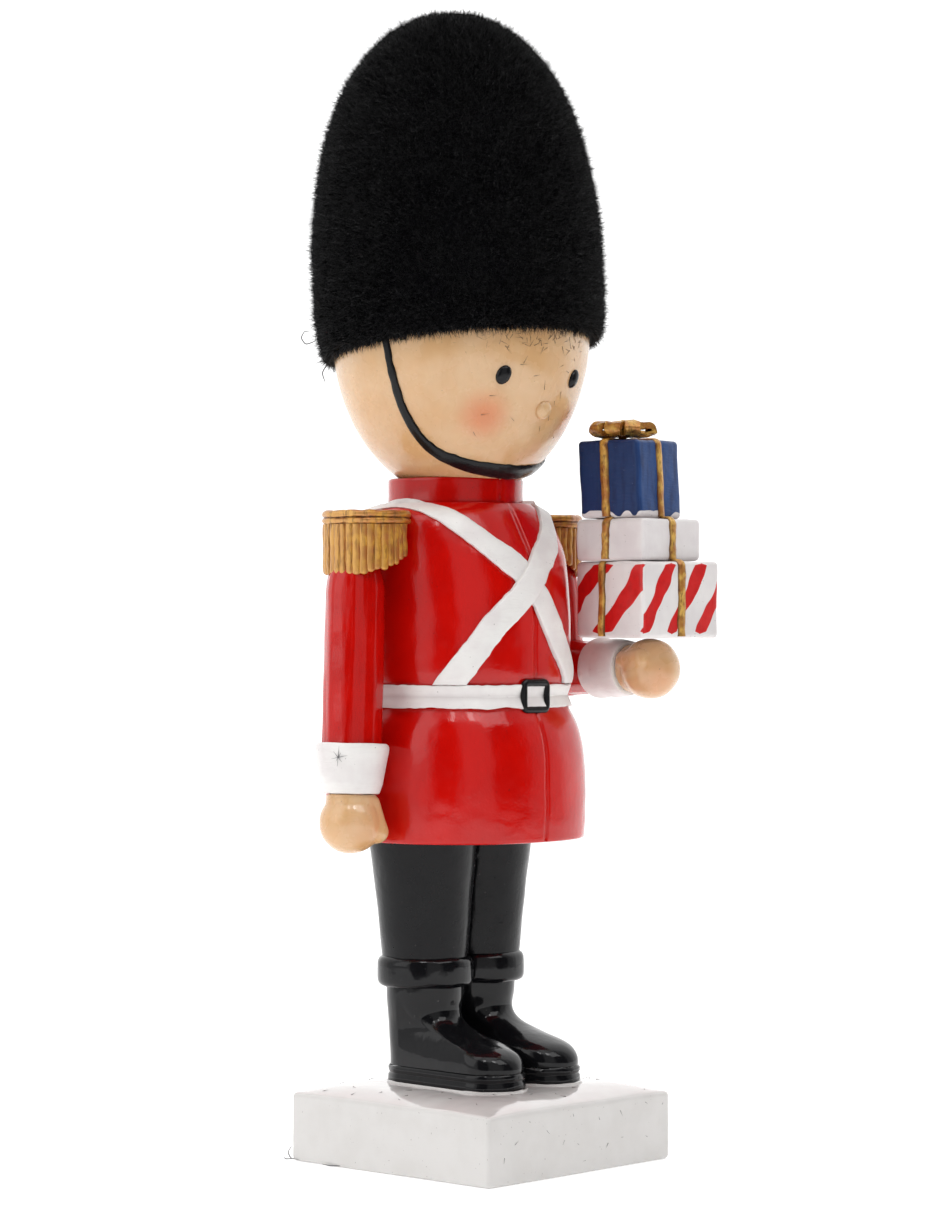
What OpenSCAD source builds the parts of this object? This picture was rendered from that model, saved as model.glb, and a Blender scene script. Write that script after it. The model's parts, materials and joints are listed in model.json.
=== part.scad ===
// Toy soldier figure: a cast and painted guardsman in a tall fur hat, who carries three parcels.
// Millimetres. +Z is up, the figure faces -Y, and its own right-hand side is at -X.
// The origin is the middle of the base block's underside.

/* [Base] */
// Side of the square base block
base_side = 53.6; // [50:0.2:60]
// Height of the base block
base_h = 13.6; // [10:0.2:18]
// Radius of the base block's edges
base_edge_r = 0.9; // [0.5:0.1:2]
// Height of the base block's crowned top above its edges
base_crown = 2.2; // [1:0.1:3]
// How far the figure's upright axis stands behind the block's middle
body_y = 7; // [5:0.5:8]

/* [Boots] */
// Length of a boot, heel to toe
boot_len = 32.8; // [30:0.2:35]
// Width of a boot's sole
boot_w = 14.8; // [14:0.2:15.6]
// Height of the toe cap above the sole
toe_h = 6.4; // [5:0.2:8]
// Thickness of the sole
sole_h = 3.3; // [2.4:0.1:4.5]
// How far the sole stands proud of the boot
sole_edge = 0.45; // [0.2:0.05:0.8]
// Height of the whole boot above the base, to the top of its turned cuff
boot_h = 27.3; // [25:0.1:30]
// Angle by which each boot's toe points outwards
boot_splay = 1.8; // [0:0.2:4]
// Radius of the boot's shaft under the cuff
boot_shaft_r = 7.8; // [7.6:0.1:8.3]
// Height of the turned boot cuff
boot_cuff_h = 5.9; // [4.5:0.1:7]
// Outer radius of the turned boot cuff
boot_cuff_r = 9.7; // [9.4:0.1:10.5]

/* [Legs] */
// Length of a trouser leg from the tunic's hem to the top of the boot cuff
leg_len = 23.3; // [19:0.1:28]
// Radius of a trouser leg at the boot
leg_low_r = 8.35; // [8:0.05:9]
// Radius of a trouser leg at the hem
leg_top_r = 11.1; // [9.5:0.1:12]
// Distance of a leg's axis from the figure's middle at the boot
leg_low_x = 7.55; // [7.45:0.05:8]
// Distance of a leg's axis from the figure's middle at the hem
leg_top_x = 8.1; // [7.5:0.1:9.5]
// How far the legs stand behind the figure's upright axis
leg_back = 1.2; // [0:0.1:2]
// Gap between the pieces of the two legs
leg_split = 0.2; // [0.1:0.05:0.6]

/* [Tunic] */
// Height of the skirt from the hem to the middle of the waist belt
skirt_len = 28.7; // [25:0.2:33]
// Half width of the skirt at its fullest
skirt_half_w = 24.2; // [23.5:0.1:24.8]
// Half depth of the skirt at its fullest
skirt_half_d = 24.8; // [23.5:0.1:26]
// Half width of the waist under the belt
waist_half_w = 20.3; // [19:0.1:21]
// Height of the body from the middle of the waist belt to the neck
torso_len = 38.3; // [36:0.2:42]
// Half width of the chest
chest_half_w = 21.5; // [20.5:0.1:22.5]
// Half depth of the chest
chest_half_d = 21.7; // [20:0.1:23]
// How square the tunic's sections are, where 2 is an ellipse
section_power = 2.45; // [2:0.05:3]
// Depth of the groove down the middle of the tunic's front
seam_depth = 0.35; // [0.2:0.05:0.6]
// Width of the groove down the middle of the tunic's front
seam_w = 0.9; // [0.5:0.1:1.5]
// Thickness of the hem's lip round the hollow in the tunic's underside
hem_wall = 2; // [1.4:0.1:2.4]
// Depth of the hollow in the tunic's underside
hem_recess = 1.4; // [0.8:0.1:2.5]
// Outer radius of the standing collar
collar_r = 13.6; // [13.2:0.1:14]
// Thickness of the standing collar
collar_t = 1.1; // [0.8:0.1:1.3]
// Height of the standing collar
collar_h = 5; // [4:0.1:6]

/* [Belts] */
// Height of the waist belt
belt_h = 4.6; // [3.4:0.1:5.5]
// Thickness of every belt
belt_t = 0.9; // [0.6:0.05:1.2]
// Width of a crossbelt at the shoulder
crossbelt_top_w = 2.9; // [2.4:0.1:3.2]
// Width of a crossbelt at the waist
crossbelt_low_w = 5.4; // [4:0.1:5.8]
// Width of the buckle
buckle_w = 8.2; // [6.5:0.1:9.5]
// Height of the buckle
buckle_h = 6.8; // [5.8:0.1:8]
// Width of the buckle's bars
buckle_bar = 1.5; // [1:0.05:2]
// Thickness of the buckle
buckle_t = 1.2; // [0.8:0.1:1.8]

/* [Arms] */
// Radius of a sleeve
sleeve_r = 5.8; // [5.6:0.05:6.4]
// Gap between a hanging sleeve and the chest
arm_gap = 0.8; // [0.6:0.05:2]
// Angle by which an upper arm leans out from the body
arm_lean = 3.4; // [3:0.1:4.5]
// Angle by which an upper arm leans forward
arm_forward = 1.5; // [0:0.1:3]
// Height of the shoulders' seat for the epaulettes above the middle of the waist belt
shoulder_h = 33.8; // [32.5:0.1:34.5]
// Length of the hanging arm from the shoulder to the top of its cuff
sleeve_len = 42.8; // [39:0.2:45]
// Length of a white cuff
cuff_len = 9.8; // [8:0.1:11.5]
// Radius of a cuff at its flared end
cuff_flare_r = 7.2; // [6.9:0.1:7.6]
// Radius of the bent arm's cuff at its flared end
bent_cuff_flare_r = 6.2; // [5.9:0.1:7]
// Radius of the bent arm's sleeve at its cuff
bent_sleeve_r = 5.2; // [4.8:0.1:5.4]
// Radius of a cuff at the wrist
cuff_wrist_r = 5.6; // [5.4:0.1:6]
// Radius of a hand
hand_r = 6.1; // [5.7:0.1:6.5]
// Distance from the cuff to the middle of the hand
hand_drop = 5.6; // [4:0.1:7]
// Radius of a thumb
thumb_r = 2.3; // [2:0.1:2.8]
// Height of the bent arm's elbow above the middle of the waist belt
elbow_h = 5.3; // [4.5:0.1:8]
// Length of the bent arm from the elbow to the middle of the hand
forearm_len = 28; // [26:0.2:31]
// Angle of the bent arm inwards from straight ahead
forearm_in = 6; // [4:0.5:9]

/* [Epaulettes] */
// Radius of an epaulette's rim
epaulette_r = 8.7; // [8.2:0.1:9]
// Distance of an epaulette's middle inwards from the shoulder end of the arm
epaulette_in = 2.6; // [2:0.1:3]
// Height of an epaulette's rim
epaulette_rim_h = 2.7; // [2:0.1:3.4]
// Length of an epaulette's fringe at its longest
fringe_len = 10.6; // [8:0.2:13]
// Number of strands in a fringe
fringe_strands = 21; // [15:1:25]
// Thickness of a fringe strand
strand_d = 1.3; // [1:0.1:1.5]

/* [Head] */
// Half width of the head
head_half_w = 25.9; // [25:0.1:27]
// Height of the head from its lowest point to its widest
head_low_h = 33.9; // [32:0.1:36]
// Height of the hat's edge above the collar, along the head's axis
face_h = 26.4; // [25:0.1:28]
// Width of an eye
eye_w = 3.3; // [2.4:0.1:3.6]
// Height of an eye
eye_h = 3.9; // [3.6:0.1:4.4]
// Angle by which the top of each eye leans to the figure's left
eye_lean = 20; // [0:1:30]
// Angle of an eye from the middle of the face
eye_angle = 22.3; // [18:0.1:26]
// Depth of the eyes below the head's widest place
eye_drop = 10.3; // [8:0.1:13]
// Angle by which the nose lies to the figure's left of the face's middle
nose_turn = 4; // [0:0.5:6]
// Radius of the nose
nose_r = 1.9; // [1.3:0.1:2.4]
// Depth of the nose below the head's widest place
nose_drop = 16.8; // [14:0.1:19]
// Angle by which the face turns to the figure's right
face_turn = 5; // [0:0.5:8]
// Width of the chin strap at the hat
strap_top_w = 1.5; // [1.2:0.1:2]
// Width of the chin strap under the chin
strap_chin_w = 4; // [3:0.1:4.4]
// Thickness of the chin strap
strap_t = 0.5; // [0.3:0.05:0.8]

/* [Hat] */
// Radius of the hat at its widest, fur included
hat_r = 29.6; // [28.8:0.1:31]
// Height of the hat above its edge, fur included
hat_h = 67.8; // [60:0.2:75]
// Angle by which the hat leans back
hat_tilt = 3.2; // [1:0.2:6]
// Angle of the hat's lower edge, which is higher at the front
rim_tilt = 6.4; // [4:0.2:9]
// Thickness of the fur
fur_t = 1.4; // [1:0.1:1.6]
// Radius of the head's crown inside the hat
crown_r = 22; // [18:0.5:23]
// Height of the head's crown inside the hat
crown_h = 8; // [6:0.5:10]

/* [Parcels] */
// Side of the striped parcel at the bottom
parcel_low_w = 20.7; // [18.5:0.1:21]
// Height of the striped parcel
parcel_low_h = 15.3; // [12:0.1:17]
// Side of the white parcel in the middle
parcel_mid_w = 17.9; // [15.5:0.1:18.6]
// Height of the white parcel
parcel_mid_h = 8.4; // [6:0.1:11]
// Side of the blue parcel on top
parcel_top_w = 14.7; // [12:0.1:15.2]
// Height of the blue parcel
parcel_top_h = 15.6; // [12:0.1:19]
// Radius of the parcels' edges
parcel_edge_r = 0.9; // [0.7:0.1:1.4]
// How far the parcels' middle lies inwards of the hand's middle
parcel_in = 1.8; // [0:0.1:3]
// How far the parcels' middle lies ahead of the hand's middle
parcel_ahead = 0.7; // [0:0.1:3]
// How far the white parcel is pushed back towards the chest on the striped one
parcel_mid_shift = 1.8; // [0:0.1:2.5]
// How far the blue parcel is pushed back towards the chest from above the striped one
parcel_top_shift = 3.2; // [0:0.1:4]
// How far the ribbon round the striped parcel's sides stands behind its middle
ribbon_low_back = 2.1; // [-1:0.1:3]
// How far the ribbon round the white parcel's sides stands behind its middle
ribbon_mid_back = 0.9; // [-1:0.1:3]
// How far the ribbon round the blue parcel's sides stands behind its middle
ribbon_top_back = 0.8; // [-1:0.1:3]
// Width of the ribbon round the parcels
ribbon_w = 1.9; // [1.2:0.1:2.4]
// Thickness of the ribbon
ribbon_t = 0.5; // [0.3:0.05:0.8]
// Length of one loop of the bow
bow_loop_len = 6.4; // [5:0.1:7.5]
// Height of one loop of the bow
bow_loop_h = 3.4; // [2.8:0.1:4.2]

/* [Joints] */
// Radius of the pegs that locate the castings
peg_r = 2.4; // [1.8:0.1:2.8]
// Length of the pegs
peg_len = 5; // [3.5:0.1:6]
// Radius of the neck peg under the head
neck_peg_r = 6; // [4:0.1:8]
// Length of the neck peg under the head
neck_peg_len = 9; // [6:0.1:12]
// Gap between a peg and its socket
peg_gap = 0.15; // [0.1:0.05:0.3]
// Gap that the glue fills between seated pieces
glue_gap = 0.1; // [0.05:0.01:0.15]

/* [Hidden] */

// The side of the figure: its own right is at -X, its left at +X
RIGHT = -1;
LEFT = 1;
// One cut's overrun past a face
cut = 1;
// Facets of a round solid
$fn = 64;
// Steps round a lofted tunic section, and round a boot's section
tunic_steps = 44;
boot_steps = 28;

// Heights of the main levels
base_top_z = base_h + base_crown;
sole_z = base_top_z + sole_h;
boot_top_z = base_h + boot_h;
cuff_low_z = boot_top_z - boot_cuff_h;
leg_seat_z = cuff_low_z + boot_cuff_h / 2;
hem_z = boot_top_z + leg_len;
waist_z = hem_z + skirt_len;
leg_y = body_y + leg_back;
shoulder_z = waist_z + shoulder_h;
neck_z = waist_z + torso_len;
collar_top_z = neck_z + collar_h;
hat_edge_z = collar_top_z + face_h;

// The head stands a little ahead of the collar, and its lowest point clears the neck's flat top
head_ahead_share = 0.11;
head_lift_share = 0.18;
head_y = body_y - head_ahead_share * collar_r;
head_z = neck_z + head_lift_share * collar_h + head_low_h;

// Paint colours
RED = [0.78, 0.12, 0.10];
WHITE = [0.92, 0.90, 0.89];
BLACK = [0.12, 0.12, 0.13];
SKIN = [0.90, 0.76, 0.60];
GOLD = [0.76, 0.56, 0.25];
BLUE = [0.15, 0.23, 0.47];

// Value of a table of [place, value, ...] rows at a place, on a smooth curve through the rows
function row_at(t, s, i = 0) = i + 2 >= len(t) || s <= t[i + 1][0] ? i : row_at(t, s, i + 1);
function slope_at(t, i, k) = i == 0 || i == len(t) - 1 ? 0
    : (t[i + 1][k] - t[i - 1][k]) / (t[i + 1][0] - t[i - 1][0]);
function end_slope(t, i, k) = i == 0 ? (t[1][k] - t[0][k]) / (t[1][0] - t[0][0])
    : i == len(t) - 1 ? (t[i][k] - t[i - 1][k]) / (t[i][0] - t[i - 1][0]) : slope_at(t, i, k);
function smooth_at(t, s, k = 1) =
    let (i = row_at(t, s), w = t[i + 1][0] - t[i][0], u = (s - t[i][0]) / w)
    t[i][k] * (1 + 2 * u) * (1 - u) ^ 2 + end_slope(t, i, k) * w * u * (1 - u) ^ 2
    + t[i + 1][k] * u ^ 2 * (3 - 2 * u) + end_slope(t, i + 1, k) * w * u ^ 2 * (u - 1);

// A closed solid through rings of points, each ring with as many points, listed from low to high
module loft(rings) {
    n = len(rings[0]);
    last = len(rings) - 1;
    polyhedron(
        points = [for (ring = rings) each ring],
        faces = [
            for (k = [0 : last - 1]) for (i = [0 : n - 1]) each [
                [k * n + i, (k + 1) * n + i, (k + 1) * n + (i + 1) % n],
                [k * n + i, (k + 1) * n + (i + 1) % n, k * n + (i + 1) % n]],
            [for (i = [0 : n - 1]) i],
            [for (i = [0 : n - 1]) last * n + n - 1 - i]],
        convexity = 4);
}

// A closed ring of a solid: the rings are joined end to end, so the last meets the first
module loft_loop(rings) {
    n = len(rings[0]);
    m = len(rings);
    polyhedron(
        points = [for (ring = rings) each ring],
        faces = [for (k = [0 : m - 1]) for (i = [0 : n - 1]) each [
            [k * n + i, ((k + 1) % m) * n + i, ((k + 1) % m) * n + (i + 1) % n],
            [k * n + i, ((k + 1) % m) * n + (i + 1) % n, k * n + (i + 1) % n]]],
        convexity = 6);
}

// A block with all its edges rounded, standing on its own middle
module soft_box(w, h, r) {
    intersection() {
        translate([0, 0, h / 2]) rounded_slab(w, w, h, r);
        translate([0, 0, h / 2]) rotate([90, 0, 0]) rounded_slab(w, h, w, r);
        translate([0, 0, h / 2]) rotate([0, 90, 0]) rounded_slab(h, w, w, r);
    }
}

// A slab with four rounded edges along Z, about its own middle
module rounded_slab(w, d, h, r) {
    translate([0, 0, -h / 2]) linear_extrude(h) union() {
        square([w - 2 * r, d], center = true);
        square([w, d - 2 * r], center = true);
        for (x = [-1, 1], y = [-1, 1]) translate([x * (w / 2 - r), y * (d / 2 - r)]) circle(r);
    }
}

// The half of space on one side of the figure, clear of the split between its legs
module side_half(side) {
    translate([side == LEFT ? leg_split / 2 : -base_side - leg_split / 2, -base_side, 0])
        cube([base_side, 2 * base_side, waist_z]);
}

// Side view of the base block: share of its half width, share of its crown's height
base_crown_shares = [[1.04, -0.22], [0.975, 0.14], [0.94, 0.31], [0.89, 0.5], [0.82, 0.7],
    [0.71, 0.87], [0.56, 0.97], [0.36, 1]];
module base_profile() {
    crown = [for (c = base_crown_shares) [c[0] * base_side / 2, base_h + c[1] * base_crown]];
    rotate([90, 0, 0]) linear_extrude(2 * base_side, center = true) polygon(concat(
        [[-crown[0].x, -cut], [crown[0].x, -cut]], crown,
        [for (i = [len(crown) - 1 : -1 : 0]) [-crown[i].x, crown[i].y]]));
}

// Base block: its top is crowned both ways, with a socket for each boot's peg
module base_block() {
    color(WHITE) difference() {
        intersection() {
            soft_box(base_side, base_top_z + base_edge_r, base_edge_r);
            base_profile();
            rotate([0, 0, 90]) base_profile();
        }
        for (side = [RIGHT, LEFT]) at_boot(side, base_top_z - peg_len - glue_gap)
            cylinder(r = peg_r + peg_gap, h = peg_len + glue_gap + cut);
    }
}

// Boots stand on their shafts' axes: the heel is a circle behind and the toe a larger one ahead
heel_r_share = 0.94;
heel_back_share = 0.236;
foot_r = boot_w / 2;
heel_r = heel_r_share * foot_r;
heel_y = heel_back_share * boot_len - heel_r;
toe_y = heel_y + heel_r - boot_len + foot_r;
module at_boot(side, z) {
    translate([side * leg_low_x, leg_y, z]) rotate([0, 0, side * boot_splay]) children();
}

// Outline of a foot: half a circle at the heel, half a larger one at the toe, and straight sides
function foot_outline(back_r, front_y, front_r) = [for (i = [0 : boot_steps - 1])
    let (a = i * 360 / boot_steps, r = a > 180 ? front_r : back_r)
    [r * cos(a), (a > 180 ? front_y : heel_y) + r * sin(a)]];
function foot_ring(z, front_y, half) =
    [for (p = foot_outline(heel_r - sole_edge, front_y, half)) [p.x, p.y, z]];
module foot_slab(h) {
    linear_extrude(h) polygon(foot_outline(heel_r, toe_y, foot_r));
}
module boot_sole(side) {
    color(BLACK) at_boot(side, base_top_z + glue_gap) difference() {
        foot_slab(sole_h - glue_gap);
        translate([0, 0, -cut]) cylinder(r = peg_r + peg_gap, h = sole_h + 2 * cut);
    }
}

// Upper of a boot by height share of the toe cap: half width share and share of the foot's reach
toe_shares = [[0, 0.97, 1], [0.15, 1, 1.01], [0.4, 0.99, 0.985], [0.62, 0.93, 0.93],
    [0.8, 0.83, 0.82], [0.92, 0.74, 0.68], [1, 0.68, 0.55]];
// The instep from the toe cap up to the shaft, by height share
instep_shares = [[0, 0.55], [0.18, 0.36], [0.45, 0.17], [0.75, 0.05], [1, 0]];
instep_h_share = 1;
toe_levels = [0, 0.08, 0.2, 0.4, 0.55, 0.68, 0.8, 0.9, 0.97];
instep_levels = [0, 0.12, 0.28, 0.5, 0.75, 1];
shaft_front_share = 0.98;

module boot(side) {
    foot = foot_r - sole_edge;
    top_share = toe_shares[len(toe_shares) - 1][1];
    function toe_half(s) = foot * smooth_at(toe_shares, s, 1);
    function instep_half(s) = foot * (top_share + (1 - top_share) * s);
    color(BLACK) difference() {
        intersection() {
            at_boot(side, 0) {
                loft([
                    for (s = toe_levels) foot_ring(sole_z + glue_gap + s * toe_h,
                        (toe_y - foot) * smooth_at(toe_shares, s, 2) + toe_half(s), toe_half(s)),
                    for (s = instep_levels) foot_ring(sole_z + toe_h * (1 + instep_h_share * s),
                        (toe_y - foot) * smooth_at(instep_shares, s) + instep_half(s)
                            - shaft_front_share * boot_shaft_r * s, instep_half(s))]);
                translate([0, 0, sole_z + glue_gap])
                    cylinder(r = boot_shaft_r, h = leg_seat_z - sole_z - 2 * glue_gap);
                translate([0, 0, base_top_z - peg_len]) cylinder(r = peg_r, h = leg_seat_z - base_top_z);
            }
            side_half(side);
        }
        at_boot(side, leg_seat_z - peg_len - glue_gap)
            cylinder(r = peg_r + peg_gap, h = peg_len + glue_gap + cut);
    }
}

// Turned cuff round the top of a boot, open where the two boots meet
cuff_round_share = 0.22;
module boot_cuff(side) {
    bore_r = leg_low_r + glue_gap;
    lip = cuff_round_share * boot_cuff_h;
    color(BLACK) intersection() {
        at_boot(side, cuff_low_z) rotate_extrude() polygon([
            [bore_r, 0], [boot_cuff_r - lip / 2, 0], [boot_cuff_r, lip],
            [boot_cuff_r, boot_cuff_h - lip], [boot_cuff_r - lip / 2, boot_cuff_h],
            [bore_r, boot_cuff_h]]);
        side_half(side);
    }
}

// Trouser leg: it stands in the boot's cuff and its top is let into the tunic's underside
module trouser_leg(side) {
    h = hem_z + hem_recess - glue_gap - leg_seat_z;
    lean = atan((leg_top_x - leg_low_x) / h);
    color(BLACK) intersection() {
        union() {
            translate([side * leg_low_x, leg_y, leg_seat_z]) rotate([0, side * lean, 0])
                cylinder(r1 = leg_low_r, r2 = leg_top_r, h = h);
            for (z = [leg_seat_z - peg_len, hem_z + hem_recess])
                translate([side * (z < hem_z ? leg_low_x : leg_top_x), leg_y, z - 2 * glue_gap])
                    cylinder(r = peg_r, h = peg_len + 2 * glue_gap);
        }
        side_half(side);
    }
}

// Half width and half depth of the tunic's sections, from the hem to the neck
skirt_shares = [[0, 0.93], [0.15, 0.98], [0.38, 1], [0.62, 0.9], [0.8, 0.62], [0.93, 0.2], [1, 0]];
torso_shares = [[0, 0.945, 0.935], [0.1, 0.995, 0.99], [0.25, 1, 1], [0.45, 1, 1],
    [0.71, 1, 0.935], [0.857, 0.97, 0.806], [0.95, 0.875, 0.715], [1, 0.66, 0.655]];
function skirt_half(z, full) = waist_half_w + (full - waist_half_w)
    * smooth_at(skirt_shares, (z - hem_z) / skirt_len);
function torso_share(z, k) = smooth_at(torso_shares, (z - waist_z) / torso_len, k);
function tunic_a(z) = z < waist_z ? skirt_half(z, skirt_half_w)
    : chest_half_w * torso_share(z, 1) + (waist_half_w - chest_half_w * torso_shares[0][1])
        * max(0, 1 - (z - waist_z) / belt_h);
function tunic_b(z) = z < waist_z ? skirt_half(z, skirt_half_d)
    : chest_half_d * torso_share(z, 2) + (waist_half_w - chest_half_d * torso_shares[0][2])
        * max(0, 1 - (z - waist_z) / belt_h);
function power(v) = sign(v) * abs(v) ^ (2 / section_power);
function tunic_point(a, z, grow = 0) = [(tunic_a(z) + grow) * power(cos(a)),
    body_y + (tunic_b(z) + grow) * power(sin(a)), z];
function tunic_ring(z, grow = 0) =
    [for (i = [0 : tunic_steps - 1]) tunic_point(i * 360 / tunic_steps, z, grow)];

// The same section with a groove down the middle of the front
function seam_ring(z) = [for (i = [0 : tunic_steps - 1])
    if (i * 4 == tunic_steps * 3)
        each [for (side = [-1, 0, 1]) [side * seam_w / 2,
            body_y - tunic_b(z) + (side == 0 ? seam_depth : 0), z]]
    else tunic_point(i * 360 / tunic_steps, z)];

skirt_levels = [0, 0.03, 0.12, 0.25, 0.4, 0.55, 0.68, 0.79, 0.88, 0.95];
torso_levels = [0, 0.06, 0.12, 0.25, 0.45, 0.6, 0.71, 0.79, 0.86, 0.91, 0.95, 0.98, 1];

module tunic() {
    neck_socket_z = neck_z - neck_peg_len - glue_gap;
    color(RED) difference() {
        loft([
            for (s = skirt_levels) seam_ring(hem_z + s * skirt_len),
            for (s = torso_levels) seam_ring(waist_z + s * torso_len)]);
        loft([for (z = [hem_z - cut, hem_z + hem_recess]) [for (i = [0 : tunic_steps - 1])
            let (p = tunic_point(i * 360 / tunic_steps, hem_z, -hem_wall)) [p.x, p.y, z]]]);
        for (side = [RIGHT, LEFT]) {
            translate([side * leg_top_x, leg_y, hem_z])
                cylinder(r = peg_r + peg_gap, h = hem_recess + peg_len + peg_gap);
            epaulette_place(side) cylinder(r = epaulette_r + glue_gap, h = neck_z);
            arm_frame(side) arm_peg(side, peg_gap);
        }
        translate([0, body_y, neck_socket_z]) cylinder(r = neck_peg_r + peg_gap, h = neck_z);
    }
}

// Standing collar, hollowed by the head that sits in it
module collar() {
    foot = cuff_round_share * collar_t;
    color(RED) difference() {
        translate([0, body_y, neck_z + glue_gap]) rotate_extrude() polygon([
            [collar_r - collar_t, 0], [collar_r, 0], [collar_r, collar_h - collar_t / 2],
            [collar_r - foot, collar_h - glue_gap], [collar_r - collar_t, collar_h - glue_gap]]);
        head_form(strap_t + glue_gap);
    }
}

// Waist belt: a band at one distance from the tunic's surface
belt_levels = [-0.5, -0.42, 0, 0.42, 0.5];
module waist_belt() {
    bevel = belt_t / 4;
    grow = function (s) abs(s) == 0.5 ? belt_t - bevel : belt_t;
    outer = [for (s = belt_levels) tunic_ring(waist_z + s * belt_h, grow(s))];
    inner = [for (i = [len(belt_levels) - 1 : -1 : 0])
        tunic_ring(waist_z + belt_levels[i] * belt_h, glue_gap)];
    color(WHITE) loft_loop(concat(outer, inner));
}

// Buckle: an open frame on the front of the waist belt
module belt_buckle() {
    round_r = buckle_bar / 2;
    front_y = body_y - tunic_b(waist_z) - belt_t - glue_gap;
    color(BLACK) translate([0, front_y, waist_z]) rotate([90, 0, 0]) difference() {
        translate([0, 0, buckle_t / 2]) rounded_slab(buckle_w, buckle_h, buckle_t, round_r);
        translate([0, 0, buckle_t / 2]) rounded_slab(buckle_w - 2 * buckle_bar,
            buckle_h - 2 * buckle_bar, buckle_t + 2 * cut, round_r / 2);
    }
}

// A point of the tunic's surface, found outwards from its core by halving; the core stands at one
// height for level 0, and at the point's own height for level 1
core_z = waist_z + torso_len * 2 / 3;
function core_at(p, level) = [0, body_y, core_z + (p.z - core_z) * level];
function inside_tunic(p, grow) = let (z = min(p.z, neck_z)) p.z < neck_z + grow
    && (abs(p.x) / (tunic_a(z) + grow)) ^ section_power
    + (abs(p.y - body_y) / (tunic_b(z) + grow)) ^ section_power < 1;
function reach_at(core, d, grow, low, high, n = 16) = n == 0 ? low
    : let (mid = (low + high) / 2)
    inside_tunic(core + mid * d, grow) ? reach_at(core, d, grow, mid, high, n - 1)
        : reach_at(core, d, grow, low, mid, n - 1);
function skin_point(p, grow, level) = let (core = core_at(p, level), d = p - core)
    core + d * reach_at(core, d, grow, 0, 2 * base_side / norm(d));

// Route of each crossbelt from the shoulder's top to the far hip: share of its length, then shares
// of the chest's half width, of its half depth and of the height from the waist belt to the neck
crossbelt_over_shares = [[0, 0.74, 0, 1], [0.09, 0.71, 0.26, 0.99], [0.17, 0.615, 0.475, 0.975],
    [0.24, 0.505, 0.64, 0.945], [0.33, 0.41, 0.8, 0.836], [0.4, 0.29, 0.88, 0.76],
    [0.49, 0.1, 0.96, 0.666], [0.64, -0.215, 1, 0.474], [0.74, -0.445, 0.965, 0.354],
    [0.84, -0.61, 0.89, 0.228], [1, -0.82, 0.68, 0]];
crossbelt_under_shares = [[0, 0.74, 0, 1], [0.085, 0.745, 0.23, 0.98], [0.19, 0.73, 0.52, 0.935],
    [0.31, 0.57, 0.75, 0.827], [0.42, 0.38, 0.9, 0.72], [0.54, 0.12, 0.98, 0.604],
    [0.64, -0.05, 1, 0.48], [0.73, -0.18, 1, 0.35], [0.83, -0.345, 0.99, 0.21],
    [0.92, -0.5, 0.94, 0.1], [1, -0.62, 0.85, 0]];
crossbelt_steps = 20;
crossbelt_cross = [-0.5, -0.17, 0.17, 0.5];
crossbelt_end_z = waist_z + belt_h / 2 + glue_gap;
function unit(v) = v / norm(v);
function crossbelt_mid(side, s, back) = let (t = side == LEFT ? crossbelt_over_shares
    : crossbelt_under_shares) [side * chest_half_w * smooth_at(t, s, 1),
    body_y - back * chest_half_d * smooth_at(t, s, 2),
    crossbelt_end_z + (neck_z - crossbelt_end_z) * smooth_at(t, s, 3)];

// One section of a crossbelt at a signed share of its length: below 0 it is on the back. The
// sections turn level towards the belt's ends
function crossbelt_ring(side, t, low, high, wide) =
    let (back = t < 0 ? -1 : 1, s = abs(t), step = 0.01, level = max(0, min(1, 3 * s - 1.5)),
        mid = crossbelt_mid(side, s, back),
        next = crossbelt_mid(side, min(1, s + step), back),
        before = crossbelt_mid(side, max(0, s - step), s < step ? -back : back),
        along = unit(back * (next - before)),
        across = unit(cross(along, unit(mid - core_at(mid, level)))),
        line = across - along * across.z / along.z * max(0, 3 * s - 2) ^ 2,
        w = crossbelt_top_w + (crossbelt_low_w - crossbelt_top_w) * min(1, 2.2 * s) + wide)
    concat([for (c = crossbelt_cross) skin_point(mid + c * w * line, high, level)],
        [for (c = [0.5, 0.17, -0.17, -0.5]) skin_point(mid + c * w * line, low, level)]);
module crossbelt_band(side, low, high, wide) {
    loft([for (i = [-crossbelt_steps : crossbelt_steps])
        crossbelt_ring(side, i / crossbelt_steps, low, high, wide)]);
}

// The lower crossbelt is parted where the other crosses it
module crossbelt_over() {
    color(WHITE) crossbelt_band(LEFT, glue_gap, belt_t, 0);
}
module crossbelt_under() {
    color(WHITE) difference() {
        crossbelt_band(RIGHT, glue_gap, belt_t, 0);
        crossbelt_band(LEFT, -cut, belt_t + cut, 2 * glue_gap);
    }
}

// Arms
arm_x = chest_half_w + arm_gap + sleeve_r;
upper_arm_len = (shoulder_h - elbow_h) / cos(arm_lean) / cos(arm_forward);
module arm_frame(side) {
    translate([side * arm_x, body_y, shoulder_z - glue_gap])
        rotate([-arm_forward, 0, 0]) rotate([0, -side * arm_lean, 0]) children();
}
module forearm_frame() {
    arm_frame(LEFT) translate([0, 0, -upper_arm_len]) rotate([0, arm_lean, 0])
        rotate([arm_forward, 0, 0]) rotate([0, 0, -forearm_in]) rotate([-90, 0, 0]) children();
}
// The peg that carries an arm reaches through its seat into the tunic
module arm_peg(side, grow) {
    translate([0, 0, -epaulette_rim_h - peg_r]) rotate([0, -side * 90, 0])
        cylinder(r = peg_r + grow, h = sleeve_r + arm_gap + peg_len + grow);
}
cuff_seat_share = 0.15;
cuff_seat = cuff_seat_share * cuff_len;
bent_bore_r = bent_sleeve_r + 2 * glue_gap;

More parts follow.
